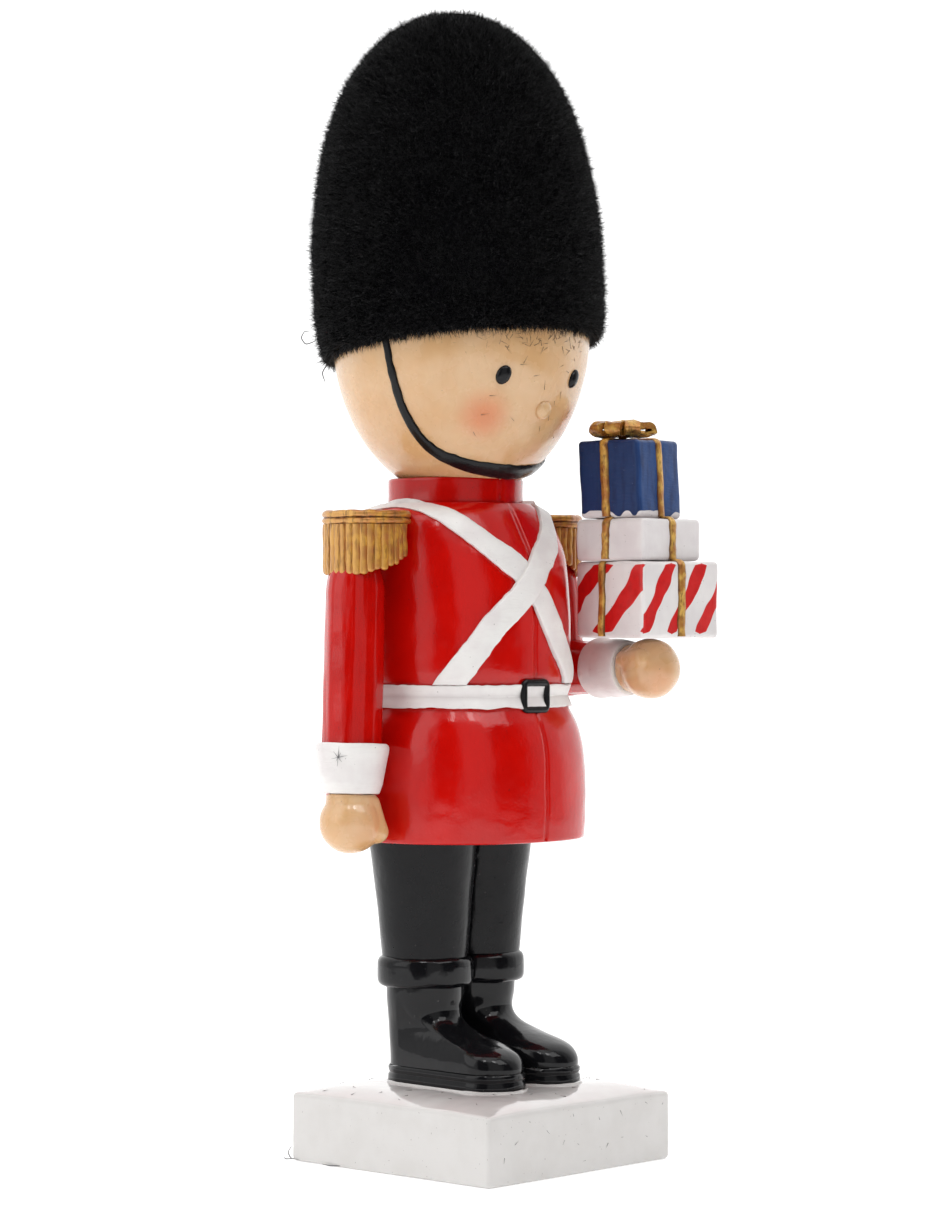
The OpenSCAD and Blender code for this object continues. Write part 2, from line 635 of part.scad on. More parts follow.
// A sleeve below the shoulder: slimmer under the epaulette's fringe, then of one thickness
sleeve_shares = [[0, 0.76], [0.55, 0.76], [1, 0.95], [1.25, 1]];
module upper_sleeve(len, grow) {
    rotate_extrude() polygon(concat([[0, 0]],
        [for (row = sleeve_shares) [sleeve_r * row[1] + grow, -fringe_len * row[0]]],
        [[sleeve_r + grow, -len], [0, -len]]));
}

module sleeve_right() {
    color(RED) arm_frame(RIGHT) {
        upper_sleeve(sleeve_len + cuff_seat, 0);
        arm_peg(RIGHT, 0);
    }
}

elbow_r_share = 1.03;
module sleeve_left() {
    cuff_at = forearm_len - hand_drop - cuff_len;
    color(RED) {
        arm_frame(LEFT) {
            upper_sleeve(upper_arm_len, 0);
            arm_peg(LEFT, 0);
            translate([0, 0, -upper_arm_len]) sphere(elbow_r_share * sleeve_r);
        }
        forearm_frame() translate([0, 0, -cuff_at - cuff_seat])
            cylinder(r1 = bent_sleeve_r, r2 = sleeve_r, h = cuff_at + cuff_seat);
    }
}

// White cuff: a turned-back band that narrows to the wrist, hollow where the sleeve enters it
cuff_waist_share = 0.62;
cuff_band_share = 0.35;
module cuff(flare_r, bore_r) {
    lip = cuff_round_share * cuff_len / 2;
    color(WHITE) difference() {
        rotate_extrude() polygon([
            [0, -cuff_len], [cuff_wrist_r - lip / 2, -cuff_len], [cuff_wrist_r, -cuff_len + lip / 2],
            [(flare_r + cuff_wrist_r) / 2, -cuff_waist_share * cuff_len],
            [flare_r - lip / 4, -cuff_band_share * cuff_len], [flare_r, -lip],
            [flare_r - lip / 3, -lip / 3], [flare_r - lip, 0], [0, 0]]);
        translate([0, 0, -cuff_seat - glue_gap]) cylinder(r = bore_r, h = cuff_seat + cut);
        translate([0, 0, -cuff_len - cut]) cylinder(r = peg_r + peg_gap, h = peg_len + cut + glue_gap);
    }
}

// Hand: a round fist below its wrist, with a thumb along it, and a peg into the cuff
wrist_share = 0.9;
thumb_root_share = 0.7;
module hand(thumb_turn, thumb_out_share) {
    wrist_r = wrist_share * (cuff_wrist_r - glue_gap);
    top = -cuff_len - glue_gap;
    mid = -cuff_len - hand_drop;
    start = asin(wrist_r / hand_r);
    color(SKIN) {
        rotate_extrude() polygon(concat([[0, mid - hand_r]],
            [for (a = [10 : 10 : 180 - start]) [hand_r * sin(a), mid - hand_r * cos(a)]],
            [[wrist_r, top], [0, top]]));
        translate([0, 0, top - glue_gap]) cylinder(r = peg_r, h = peg_len + glue_gap);
        rotate([0, 0, thumb_turn]) hull() {
            translate([0, -hand_r * thumb_root_share, mid + thumb_r]) sphere(thumb_r, $fn = 20);
            translate([0, -hand_r * thumb_out_share, mid - thumb_r * 3 / 4]) sphere(thumb_r, $fn = 20);
        }
    }
}
thumb_turn_right = 43;
thumb_out_share_right = 0.95;
thumb_turn_left = -65;
thumb_out_share_left = 0.75;
module right_hand_place() { arm_frame(RIGHT) translate([0, 0, -sleeve_len]) children(); }
module left_hand_place() {
    forearm_frame() translate([0, 0, -(forearm_len - hand_drop - cuff_len)]) children();
}

// Middle of the left hand, which carries the parcels
elbow = [arm_x + upper_arm_len * sin(arm_lean),
    body_y - upper_arm_len * cos(arm_lean) * sin(arm_forward),
    shoulder_z - glue_gap - upper_arm_len * cos(arm_lean) * cos(arm_forward)];
palm = elbow + forearm_len * [-sin(forearm_in), -cos(forearm_in), 0];

// Epaulettes: a rim on the shoulder and a fringe that hangs round the outside of the arm
module epaulette_place(side) {
    translate([side * (arm_x - epaulette_in), body_y, shoulder_z]) children();
}
module epaulette_rim(side) {
    lip = cuff_round_share * epaulette_rim_h;
    mid = epaulette_rim_h / 2;
    color(GOLD) epaulette_place(side) rotate_extrude() polygon([
        [0, 0], [epaulette_r - lip, 0], [epaulette_r, lip], [epaulette_r, mid - lip],
        [epaulette_r - lip, mid], [epaulette_r, mid + lip / 2],
        [epaulette_r, epaulette_rim_h - lip], [epaulette_r - lip, epaulette_rim_h],
        [0, epaulette_rim_h]]);
}
fringe_spread = 108;
fringe_short_share = 0.36;
function strand_len(a) = fringe_len * (1 - fringe_short_share * (abs(a) / fringe_spread) ^ 2);
module epaulette_fringe(side) {
    ring_r = epaulette_r - strand_d / 2;
    chest = chest_half_w + glue_gap;
    color(GOLD) difference() {
        epaulette_place(side) translate([0, 0, -glue_gap]) {
            for (i = [0 : fringe_strands - 1])
                let (a = fringe_spread * (2 * i / (fringe_strands - 1) - 1),
                    h = strand_len(a) - strand_d / 2)
                rotate([0, 0, a + (side == LEFT ? 0 : 180)]) translate([ring_r, 0, -h]) {
                    cylinder(d = strand_d, h = h, $fn = 16);
                    sphere(d = strand_d, $fn = 16);
                }
            translate([0, 0, -strand_len(fringe_spread)])
                cylinder(r = ring_r, h = strand_len(fringe_spread));
        }
        epaulette_place(side) translate([0, 0, -fringe_len - cut])
            cylinder(r = ring_r - strand_d, h = fringe_len + cut);
        arm_frame(side) {
            translate([0, 0, 2 * glue_gap]) upper_sleeve(2 * fringe_len, glue_gap);
            arm_peg(side, glue_gap);
        }
        translate([side == LEFT ? -cut : -chest, 0, hem_z])
            cube([chest + cut, 2 * base_side, neck_z]);
    }
}

// Head: the lower part of an egg, with a crown inside the hat and a peg into the body
head_points = 30;
head_arc = 105;
module head_form(grow) {
    a = head_half_w + grow;
    b = head_low_h + grow;
    translate([0, head_y, head_z]) rotate_extrude()
        polygon(concat([for (i = [0 : head_points]) let (t = head_arc * i / head_points)
            [i == 0 ? 0 : a * sin(t), -b * cos(t)]], [[0, -b * cos(head_arc)]]));
}
module at_rim() {
    translate([0, head_y, hat_edge_z]) rotate([-rim_tilt, 0, 0]) children();
}
module above_rim(lift) {
    at_rim() translate([-base_side, -base_side, lift]) cube([2 * base_side, 2 * base_side, 2 * hat_h]);
}
module head() {
    color(SKIN) {
        difference() {
            head_form(0);
            above_rim(0);
        }
        at_rim() translate([0, 0, -glue_gap]) cylinder(r = crown_r, h = crown_h + glue_gap);
        translate([0, body_y, neck_z - neck_peg_len])
            cylinder(r = neck_peg_r, h = neck_peg_len + collar_h);
    }
}

// A place on the head: angle from the middle of the face towards the figure's left, drop below
// the widest place
function on_head(turn, drop, grow = 0) = let (r = (head_half_w + grow) * sqrt(1 - (drop / head_low_h) ^ 2))
    [r * sin(turn), head_y - r * cos(turn), head_z - drop];
function head_slope(drop) = atan2(drop / head_low_h ^ 2, sqrt(1 - (drop / head_low_h) ^ 2) / head_half_w);
module face_place(turn, drop) {
    translate(on_head(turn - face_turn, drop)) rotate([0, 0, turn - face_turn])
        rotate([90 + head_slope(drop), 0, 0]) children();
}
// A low round dome that stands on the face
module dome(r, rise, fn) {
    steps = 6;
    rotate_extrude($fn = fn) polygon(concat([[0, 0]],
        [for (i = [0 : steps]) let (a = 90 * i / steps) [i == steps ? 0 : r * cos(a), rise * sin(a)]]));
}
eye_rise_share = 0.3;
nose_rise_share = 0.65;
module eye(side) {
    r = eye_w / 2;
    color(BLACK) face_place(side * eye_angle, eye_drop) translate([0, 0, glue_gap])
        rotate([0, 0, -eye_lean]) hull() for (y = [-1, 1])
            translate([0, y * (eye_h - eye_w) / 2, 0]) dome(r, eye_rise_share * eye_w, 24);
}
module nose() {
    color(SKIN) face_place(nose_turn, nose_drop) translate([0, 0, glue_gap])
        dome(nose_r, nose_rise_share * nose_r, $fn);
}

// Chin strap by its angle from the front: share of the way from the chin up to the hat's edge,
// for a line half the strap's least width above its lower edge
strap_shares = [[0, 0], [24, 0.018], [46, 0.06], [64, 0.15], [72.5, 0.27], [77.4, 0.46],
    [79.5, 0.67], [82, 1]];
strap_levels = [0, 12, 24, 35, 46, 55, 64, 69, 72.5, 75, 77.4, 78.6, 79.5, 80.4, 81.3, 82];
strap_low = 4.3;
strap_over = 2.2;
strap_bottom = head_low_h - strap_low;
strap_top = head_z - hat_edge_z - strap_over;
function strap_drop(a) = strap_bottom - (strap_bottom - strap_top) * smooth_at(strap_shares, abs(a));
function strap_ring(a) =
    let (da = 0.5, p = on_head(a, strap_drop(a)),
        q = on_head(a + da, strap_drop(min(82, a + da))), o = on_head(a - da, strap_drop(max(-82, a - da))),
        n = unit([(p.x) / head_half_w ^ 2, (p.y - head_y) / head_half_w ^ 2, (p.z - head_z) / head_low_h ^ 2]),
        along = unit(q - o), across = cross(along, n),
        w = strap_chin_w + (strap_top_w - strap_chin_w) * (a / 82) ^ 2)
    [for (c = [[-0.5, glue_gap], [-0.5, strap_t * 0.7], [-0.3, strap_t], [0.3, strap_t],
        [0.5, strap_t * 0.7], [0.5, glue_gap], [0.17, glue_gap], [-0.17, glue_gap]])
        let (down = (c[0] - 0.5) * w + strap_top_w / 2)
        p + down * across + (c[1] - down ^ 2 / (2 * head_half_w)) * n];
module chin_strap() {
    color(BLACK) difference() {
        loft([for (k = [1 - len(strap_levels) : len(strap_levels) - 1])
            strap_ring(sign(k) * strap_levels[abs(k)])]);
        head_form(glue_gap / 2);
        above_rim(-glue_gap);
    }
}

// Hat: share of its height, share of its widest radius
hat_shares = [[0, 0.965], [0.07, 0.995], [0.2, 1.0], [0.3, 1.0], [0.42, 0.975], [0.54, 0.935],
    [0.65, 0.875], [0.74, 0.8], [0.82, 0.705], [0.89, 0.585], [0.94, 0.46], [0.975, 0.31], [1, 0]];
hat_levels = [0.035, 0.07, 0.13, 0.2, 0.3, 0.42, 0.54, 0.65, 0.74, 0.8, 0.85, 0.89, 0.92, 0.95, 0.975,
    0.99];
hat_sunk_share = 0.12;
module hat_form(grow) {
    at_hat() rotate_extrude() polygon(concat(
        [[0, -hat_sunk_share * hat_h]], [[hat_r * hat_shares[0][1] + grow, -hat_sunk_share * hat_h]],
        [[hat_r * hat_shares[0][1] + grow, 0]],
        [for (s = hat_levels) [hat_r * smooth_at(hat_shares, s) + grow, s * (hat_h + grow)]],
        [[0, hat_h + grow]]));
}
module at_hat() {
    translate([0, head_y, hat_edge_z]) rotate([-hat_tilt, 0, 0]) children();
}
module hat_core() {
    color(BLACK) difference() {
        intersection() {
            hat_form(-fur_t);
            above_rim(glue_gap);
        }
        at_rim() cylinder(r = crown_r + peg_gap, h = crown_h + glue_gap);
    }
}
module hat_fur() {
    color(BLACK) difference() {
        intersection() {
            hat_form(0);
            above_rim(glue_gap);
        }
        hat_form(glue_gap - fur_t);
    }
}

// Parcels, one on another in the left hand, each turned a little
parcel_low_turn = -8;
parcel_top_turn = 5.2;
mid_lift = parcel_low_h + glue_gap;
top_lift = mid_lift + parcel_mid_h + glue_gap;
module parcel_place(lift, turn, shift) {
    back = shift / sqrt(2);
    translate(palm + [-parcel_in - back, back - parcel_ahead, hand_r + glue_gap + lift])
        rotate([0, 0, turn]) children();
}
module low_place() { parcel_place(0, parcel_low_turn, 0) children(); }
module mid_place() { parcel_place(mid_lift, 0, parcel_mid_shift) children(); }
module top_place() { parcel_place(top_lift, parcel_top_turn, parcel_top_shift) children(); }
module parcel_striped() {
    color(WHITE) low_place() soft_box(parcel_low_w, parcel_low_h, parcel_edge_r);
}
module parcel_white() {
    color(WHITE) mid_place() soft_box(parcel_mid_w, parcel_mid_h, parcel_edge_r);
}
module parcel_blue() {
    color(BLUE) top_place() soft_box(parcel_top_w, parcel_top_h, parcel_edge_r);
}

// Ribbon round one parcel: two bands that cross on its top, open underneath
module ribbon_bands(w, h, back) {
    out = w + 2 * (ribbon_t + glue_gap);
    difference() {
        union() for (turn = [0, 90]) rotate([0, 0, turn]) translate([0, turn == 0 ? back : 0, h / 2])
            rotate([90, 0, 0]) rounded_slab(out, h + 2 * (ribbon_t + glue_gap), ribbon_w,
                parcel_edge_r + ribbon_t);
        soft_box_grown(w, h);
        translate([-out, -out, -2 * ribbon_t - cut]) cube([2 * out, 2 * out, 2 * ribbon_t + cut + glue_gap]);
    }
}
module soft_box_grown(w, h) {
    translate([0, 0, -glue_gap]) soft_box(w + 2 * glue_gap, h + 2 * glue_gap, parcel_edge_r + glue_gap);
}
module clear_of_parcel(w, h) {
    clear = 2 * (ribbon_t + glue_gap) + glue_gap;
    translate([0, 0, -glue_gap]) soft_box(w + clear, h, parcel_edge_r);
}
module ribbon_striped() {
    color(GOLD) difference() {
        low_place() ribbon_bands(parcel_low_w, parcel_low_h, ribbon_low_back);
        mid_place() clear_of_parcel(parcel_mid_w, parcel_mid_h);
    }
}
module ribbon_white() {
    color(GOLD) difference() {
        mid_place() ribbon_bands(parcel_mid_w, parcel_mid_h, ribbon_mid_back);
        top_place() clear_of_parcel(parcel_top_w, parcel_top_h);
    }
}
module ribbon_blue() {
    color(GOLD) top_place() ribbon_bands(parcel_top_w, parcel_top_h, ribbon_top_back);
}

// Bow: flat ribbon loops round a drop-shaped path, and a knot over their roots
loop_steps = 16;
loop_pinch_share = 0.35;
loop_w_share = 1.5;
function loop_point(u) = let (a = 360 * u) [bow_loop_len * (1 - cos(a)) / 2,
    (bow_loop_h - ribbon_t) / 2 * (sin(a) - loop_pinch_share * sin(2 * a))];
module bow_loop(turn) {
    w = loop_w_share * ribbon_w;
    rotate([0, 0, turn]) translate([0, 0, bow_loop_h / 2])
        rotate([90, 0, 0]) linear_extrude(w, center = true) difference() {
            polygon([for (i = [0 : loop_steps - 1]) loop_point(i / loop_steps)]);
            translate([ribbon_t * 2, 0]) scale(1 - 4 * ribbon_t / bow_loop_len)
                polygon([for (i = [0 : loop_steps - 1]) loop_point(i / loop_steps)]);
        }
}
loop_turns = [20, 160, 205, -25];
bow_lift = ribbon_t + 2 * glue_gap;
knot_w_share = 1.5;
knot_w = knot_w_share * ribbon_w;
module bow_place() {
    top_place() translate([0, ribbon_top_back, parcel_top_h + bow_lift]) children();
}
module bow_loops() {
    color(GOLD) bow_place() difference() {
        for (turn = loop_turns) bow_loop(turn);
        translate([0, 0, -cut]) linear_extrude(bow_loop_h + 2 * cut)
            square(knot_w + 2 * glue_gap, center = true);
    }
}
module bow_knot() {
    color(GOLD) bow_place() soft_box(knot_w, bow_loop_h, ribbon_t);
}

base_block();
boot_sole(RIGHT);  // boot_sole_right
boot_sole(LEFT);  // boot_sole_left
boot(RIGHT);  // boot_right
boot(LEFT);  // boot_left
boot_cuff(RIGHT);  // boot_cuff_right
boot_cuff(LEFT);  // boot_cuff_left
trouser_leg(RIGHT);  // trouser_leg_right
trouser_leg(LEFT);  // trouser_leg_left
tunic();
collar();
waist_belt();
belt_buckle();
crossbelt_under();
crossbelt_over();
epaulette_rim(RIGHT);  // epaulette_rim_right
epaulette_rim(LEFT);  // epaulette_rim_left
epaulette_fringe(RIGHT);  // epaulette_fringe_right
epaulette_fringe(LEFT);  // epaulette_fringe_left
sleeve_right();
sleeve_left();
right_hand_place() cuff(cuff_flare_r, sleeve_r + glue_gap);  // cuff_right
left_hand_place() cuff(bent_cuff_flare_r, bent_bore_r);  // cuff_left
right_hand_place() hand(thumb_turn_right, thumb_out_share_right);  // hand_right
left_hand_place() hand(thumb_turn_left, thumb_out_share_left);  // hand_left
head();
nose();
eye(RIGHT);  // eye_right
eye(LEFT);  // eye_left
chin_strap();
hat_core();
hat_fur();
parcel_striped();
parcel_white();
parcel_blue();
ribbon_striped();
ribbon_white();
ribbon_blue();
bow_loops();
bow_knot();
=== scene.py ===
"""Toy soldier figure: a cast and painted guardsman in a tall fur hat, who carries three parcels.

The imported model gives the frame. Every piece is built in millimetres from the same sizes, and is
turned into metres when it becomes a Blender mesh.
"""
from __future__ import annotations

import json
import logging
from dataclasses import dataclass, field
from enum import IntEnum
from math import asin, cos, dist, pi, radians, sin, sqrt, tan, tau

import bmesh
import bpy
import numpy as np
from bpy.types import ID, Material, Mesh, Node, NodeSocket, NodeTree, Object
from mathutils import Matrix, Vector, noise

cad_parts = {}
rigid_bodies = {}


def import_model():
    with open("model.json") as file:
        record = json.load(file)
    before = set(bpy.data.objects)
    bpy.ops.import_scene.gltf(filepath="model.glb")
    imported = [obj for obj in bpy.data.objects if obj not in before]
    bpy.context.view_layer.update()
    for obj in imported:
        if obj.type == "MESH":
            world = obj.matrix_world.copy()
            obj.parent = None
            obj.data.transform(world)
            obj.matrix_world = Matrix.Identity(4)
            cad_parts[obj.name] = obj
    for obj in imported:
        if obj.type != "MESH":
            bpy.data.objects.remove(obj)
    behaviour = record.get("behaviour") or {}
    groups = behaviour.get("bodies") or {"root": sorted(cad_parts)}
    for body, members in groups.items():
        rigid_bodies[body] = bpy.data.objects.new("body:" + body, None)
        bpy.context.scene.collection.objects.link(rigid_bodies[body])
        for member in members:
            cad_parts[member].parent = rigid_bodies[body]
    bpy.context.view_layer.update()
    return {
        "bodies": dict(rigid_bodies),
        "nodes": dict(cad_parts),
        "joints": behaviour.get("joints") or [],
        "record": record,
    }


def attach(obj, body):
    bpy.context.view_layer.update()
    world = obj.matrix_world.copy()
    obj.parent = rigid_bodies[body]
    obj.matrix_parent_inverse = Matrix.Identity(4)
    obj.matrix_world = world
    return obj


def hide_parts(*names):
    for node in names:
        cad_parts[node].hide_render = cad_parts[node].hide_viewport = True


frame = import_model()

log = logging.getLogger("toy soldier")
MM = 0.001
GLUE = 0.1

Array = np.ndarray
Colour = tuple[float, float, float]
Row = tuple[float, ...]
Table = tuple[Row, ...]


class Side(IntEnum):
    """The figure's own right-hand side is at -X, its left at +X."""

    RIGHT = -1
    LEFT = 1

    @property
    def tag(self) -> str:
        """The side's word in the names of pieces."""
        return self.name.lower()


@dataclass(frozen=True)
class Plan:
    """Levels and axes that several pieces share, in millimetres."""

    base_side: float = 53.6
    base_h: float = 13.6
    base_crown: float = 2.2
    sole_h: float = 3.3
    body_y: float = 7.0
    leg_y: float = 8.2
    leg_x: float = 7.55
    boot_h: float = 27.3
    boot_cuff_h: float = 5.9
    leg_len: float = 23.3
    skirt_len: float = 28.7
    torso_len: float = 38.3
    shoulder_h: float = 33.8
    collar_h: float = 5.0
    collar_r: float = 13.6
    face_h: float = 26.4
    head_half_w: float = 25.9
    head_low_h: float = 33.9
    boot_splay: float = 1.8

    @property
    def base_top_z(self) -> float:
        """Height of the middle of the base's crowned top."""
        return self.base_h + self.base_crown

    @property
    def sole_z(self) -> float:
        """Height of the soles' tops."""
        return self.base_top_z + self.sole_h

    @property
    def boot_top_z(self) -> float:
        """Height of the boots' tops."""
        return self.base_h + self.boot_h

    @property
    def hem_z(self) -> float:
        """Height of the tunic's hem."""
        return self.boot_top_z + self.leg_len

    @property
    def waist_z(self) -> float:
        """Height of the waist belt's middle."""
        return self.hem_z + self.skirt_len

    @property
    def core_z(self) -> float:
        """Height of the body's core, two thirds of the way up the torso."""
        return self.waist_z + self.torso_len * 2 / 3

    @property
    def shoulder_z(self) -> float:
        """Height of the epaulettes' seats."""
        return self.waist_z + self.shoulder_h

    @property
    def neck_z(self) -> float:
        """Height of the tunic's top."""
        return self.waist_z + self.torso_len

    @property
    def hat_edge_z(self) -> float:
        """Height of the hat's edge on the head's axis."""
        return self.neck_z + self.collar_h + self.face_h

    @property
    def head_y(self) -> float:
        """The head's axis stands a little ahead of the body's."""
        return self.body_y - 0.11 * self.collar_r

    @property
    def head_z(self) -> float:
        """Height of the head's widest place."""
        return self.neck_z + 0.18 * self.collar_h + self.head_low_h


PLAN = Plan()


def smooth_at(table: Table, s: float, k: int = 1) -> float:
    """Value of a table at a place, on a smooth curve through its rows.

    Args:
        table: Rows of a place and its values.
        s: The place.
        k: Column of the value.

    Returns:
        The value at the place.
    """
    i = 0
    while i + 2 < len(table) and s > table[i + 1][0]:
        i += 1
    a, b = table[i], table[i + 1]

    def slope(j: int) -> float:
        """Slope of the curve at a row."""
        low, high = max(0, j - 1), min(len(table) - 1, j + 1)
        return (table[high][k] - table[low][k]) / (table[high][0] - table[low][0])

    w = b[0] - a[0]
    u = (s - a[0]) / w
    return (a[k] * (1 + 2 * u) * (1 - u) ** 2 + slope(i) * w * u * (1 - u) ** 2
            + b[k] * u * u * (3 - 2 * u) + slope(i + 1) * w * u * u * (u - 1))


def ease(v: float | Array, low: float, high: float) -> float | Array:
    """A smooth step from 0 at low to 1 at high."""
    t = np.clip((v - low) / (high - low), 0.0, 1.0)
    return t * t * (3 - 2 * t)


def chance(x: float, y: float, z: float) -> float:
    """Smooth noise between about -1 and 1 at a place."""
    return noise.noise(Vector((x, y, z)))


def ripple(points: Array, size: float, seed: float) -> Array:
    """Smooth noise between about -1 and 1 at each point, for lumps of one size in millimetres."""
    return np.array([chance(x / size + seed, y / size, z / size) for x, y, z in points])


def unit(v: Array) -> Array:
    """Vectors along the last axis, each of length 1."""
    return v / np.maximum(np.linalg.norm(v, axis=-1, keepdims=True), 1e-9)


def shift(x: float, y: float, z: float) -> Matrix:
    """A move."""
    return Matrix.Translation((x, y, z))


def spin(degrees: float, axis: str = "Z") -> Matrix:
    """A turn about one of the axes."""
    return Matrix.Rotation(radians(degrees), 4, axis)


def turns(steps: int) -> Array:
    """Even angles round a whole turn, in radians."""
    return np.arange(steps) * tau / steps


def between(points: Array | list, knots: Array | list, spots: Array) -> Array:
    """Points at places on a line, of which each given point lies at its own knot."""
    return np.stack([np.interp(spots, knots, part) for part in np.transpose(points)], axis=1)


def level_ring(x: Array, y: Array, z: float | Array) -> Array:
    """Points of a ring from their places along each axis, all at one height or each at its own."""
    return np.stack([x, y, np.broadcast_to(z, x.shape)], axis=1)


def put(name: str, data: ID) -> Object:
    """A new object in the scene."""
    made = bpy.data.objects.new(name, data)
    bpy.context.scene.collection.objects.link(made)
    return made


def take(holder: Object) -> Mesh:
    """The plain mesh that an object's modifiers make of it. The object itself goes."""
    graph = bpy.context.evaluated_depsgraph_get()
    made = bpy.data.meshes.new_from_object(holder.evaluated_get(graph))
    bpy.data.objects.remove(holder)
    return made


@dataclass
class Shape:
    """Points in millimetres and the faces over them."""

    points: Array
    faces: list[tuple[int, ...]]

    @staticmethod
    def loft(rings: Array | list, caps: bool = True, loop: bool = False) -> Shape:
        """A skin through rings of points.

        Args:
            rings: Rings with as many points each, from one end to the other.
            caps: True to close both ends with a fan.
            loop: True where the last ring meets the first.

        Returns:
            The lofted shape.
        """
        r = np.asarray(rings, dtype=float)
        m, n = r.shape[:2]
        points = r.reshape(-1, 3)
        faces = [(k * n + i, ((k + 1) % m) * n + i, ((k + 1) % m) * n + (i + 1) % n,
                  k * n + (i + 1) % n) for k in range(m if loop else m - 1) for i in range(n)]
        if caps and not loop:
            points = np.vstack([points, r[0].mean(axis=0), r[-1].mean(axis=0)])
            faces += [(i, (i + 1) % n, m * n) for i in range(n)]
            faces += [((m - 1) * n + (i + 1) % n, (m - 1) * n + i, m * n + 1) for i in range(n)]
        return Shape(points, faces)

    @staticmethod
    def lathe(profile: list[tuple[float, float]], steps: int) -> Shape:
        """A profile of (radius, height) turned about the Z axis, with a number of points round it."""
        a = np.radians(360.0 * np.arange(steps) / steps)
        rings = [[(r * cos(t), r * sin(t), z) for t in a] for r, z in profile]
        return Shape.loft(rings, caps=profile[0][0] > 1e-6)

    @staticmethod
    def sheet(grid: Array | list) -> Shape:
        """An open skin over rows of points."""
        g = np.asarray(grid)
        m, n = g.shape[:2]
        return Shape(g.reshape(-1, 3), [
            (k * n + i, k * n + i + 1, (k + 1) * n + i + 1, (k + 1) * n + i)
            for k in range(m - 1) for i in range(n - 1)])

    @staticmethod
    def read(mesh: Mesh) -> Shape:
        """The shape of a mesh, which is in metres."""
        co = np.empty(len(mesh.vertices) * 3)
        mesh.vertices.foreach_get("co", co)
        return Shape(co.reshape(-1, 3) / MM, [tuple(p.vertices) for p in mesh.polygons])

    def moved(self, matrix: Matrix) -> Shape:
        """The same shape, placed by a matrix in millimetres."""
        m = np.array(matrix)
        return Shape(self.points @ m[:3, :3].T + m[:3, 3], self.faces)

    def joined(self, *others: Shape) -> Shape:
        """This shape and others as one."""
        faces, start = list(self.faces), len(self.points)
        for other in others:
            faces += [tuple(i + start for i in f) for f in other.faces]
            start += len(other.points)
        return Shape(np.vstack([self.points, *(other.points for other in others)]), faces)

    def wobbled(self, amount: float, size: float, seed: float) -> Shape:
        """The same shape with soft lumps of a height and a breadth, their pattern by the seed."""
        off = np.stack([ripple(self.points, size, seed + 7.3 * k) for k in range(3)], axis=1)
        return Shape(self.points + amount * off, self.faces)

    def bare(self, name: str) -> Mesh:
        """The shape as a mesh in metres, just as it is."""
        mesh = bpy.data.meshes.new(name)
        mesh.from_pydata((self.points * MM).tolist(), [], self.faces)
        return mesh

    def mesh(self, name: str, crease: float = 38.0, rim: Array | None = None) -> Mesh:
        """The shape as a clean mesh in metres, smooth but for its creases.

        Args:
            name: Name of the mesh.
            crease: Angle in degrees above which an edge stays sharp.
            rim: How near each point lies to a painted edge, 0 to 1, if any.

        Returns:
            The mesh, its faces outwards.
        """
        mesh = self.bare(name)
        if rim is not None:
            mesh.attributes.new("rim", "FLOAT", "POINT").data.foreach_set("value", rim)
        bm = bmesh.new()
        bm.from_mesh(mesh)
        bmesh.ops.remove_doubles(bm, verts=bm.verts, dist=2e-6)
        bmesh.ops.dissolve_degenerate(bm, edges=bm.edges, dist=1e-7)
        bmesh.ops.recalc_face_normals(bm, faces=bm.faces)
        bm.to_mesh(mesh)
        bm.free()
        mesh.shade_smooth()
        mesh.set_sharp_from_angle(angle=radians(crease))
        mark_hollows(mesh)
        return mesh


def mark_hollows(mesh: Mesh) -> None:
    """Writes the attribute "hollow": how far each vertex lies below its neighbours, 0 to 1.

    Args:
        mesh: The mesh that gets the attribute.
    """
    n = len(mesh.vertices)
    co = np.empty(n * 3)
    mesh.vertices.foreach_get("co", co)
    co = co.reshape(-1, 3)
    normal = np.empty(n * 3)
    mesh.vertex_normals.foreach_get("vector", normal)
    normal = normal.reshape(-1, 3)
    edges = np.empty(len(mesh.edges) * 2, dtype=np.int64)
    mesh.edges.foreach_get("vertices", edges)
    a, b = edges.reshape(-1, 2).T
    total, count, reach = np.zeros((n, 3)), np.zeros(n), np.zeros(n)
    for p, q in ((a, b), (b, a)):
        np.add.at(total, p, co[q])
        np.add.at(count, p, 1)
        np.add.at(reach, p, np.linalg.norm(co[q] - co[p], axis=1))
    count = np.maximum(count, 1)
    lift = ((total / count[:, None] - co) * normal).sum(axis=1) / np.maximum(reach / count, 1e-9)
    value = np.clip(lift * 2.2, 0, 1)
    for _ in range(2):
        spread = np.zeros(n)
        np.add.at(spread, a, value[b])
        np.add.at(spread, b, value[a])
        value = np.maximum(value, 0.8 * spread / count)
    mesh.attributes.new("hollow", "FLOAT", "POINT").data.foreach_set("value", value)


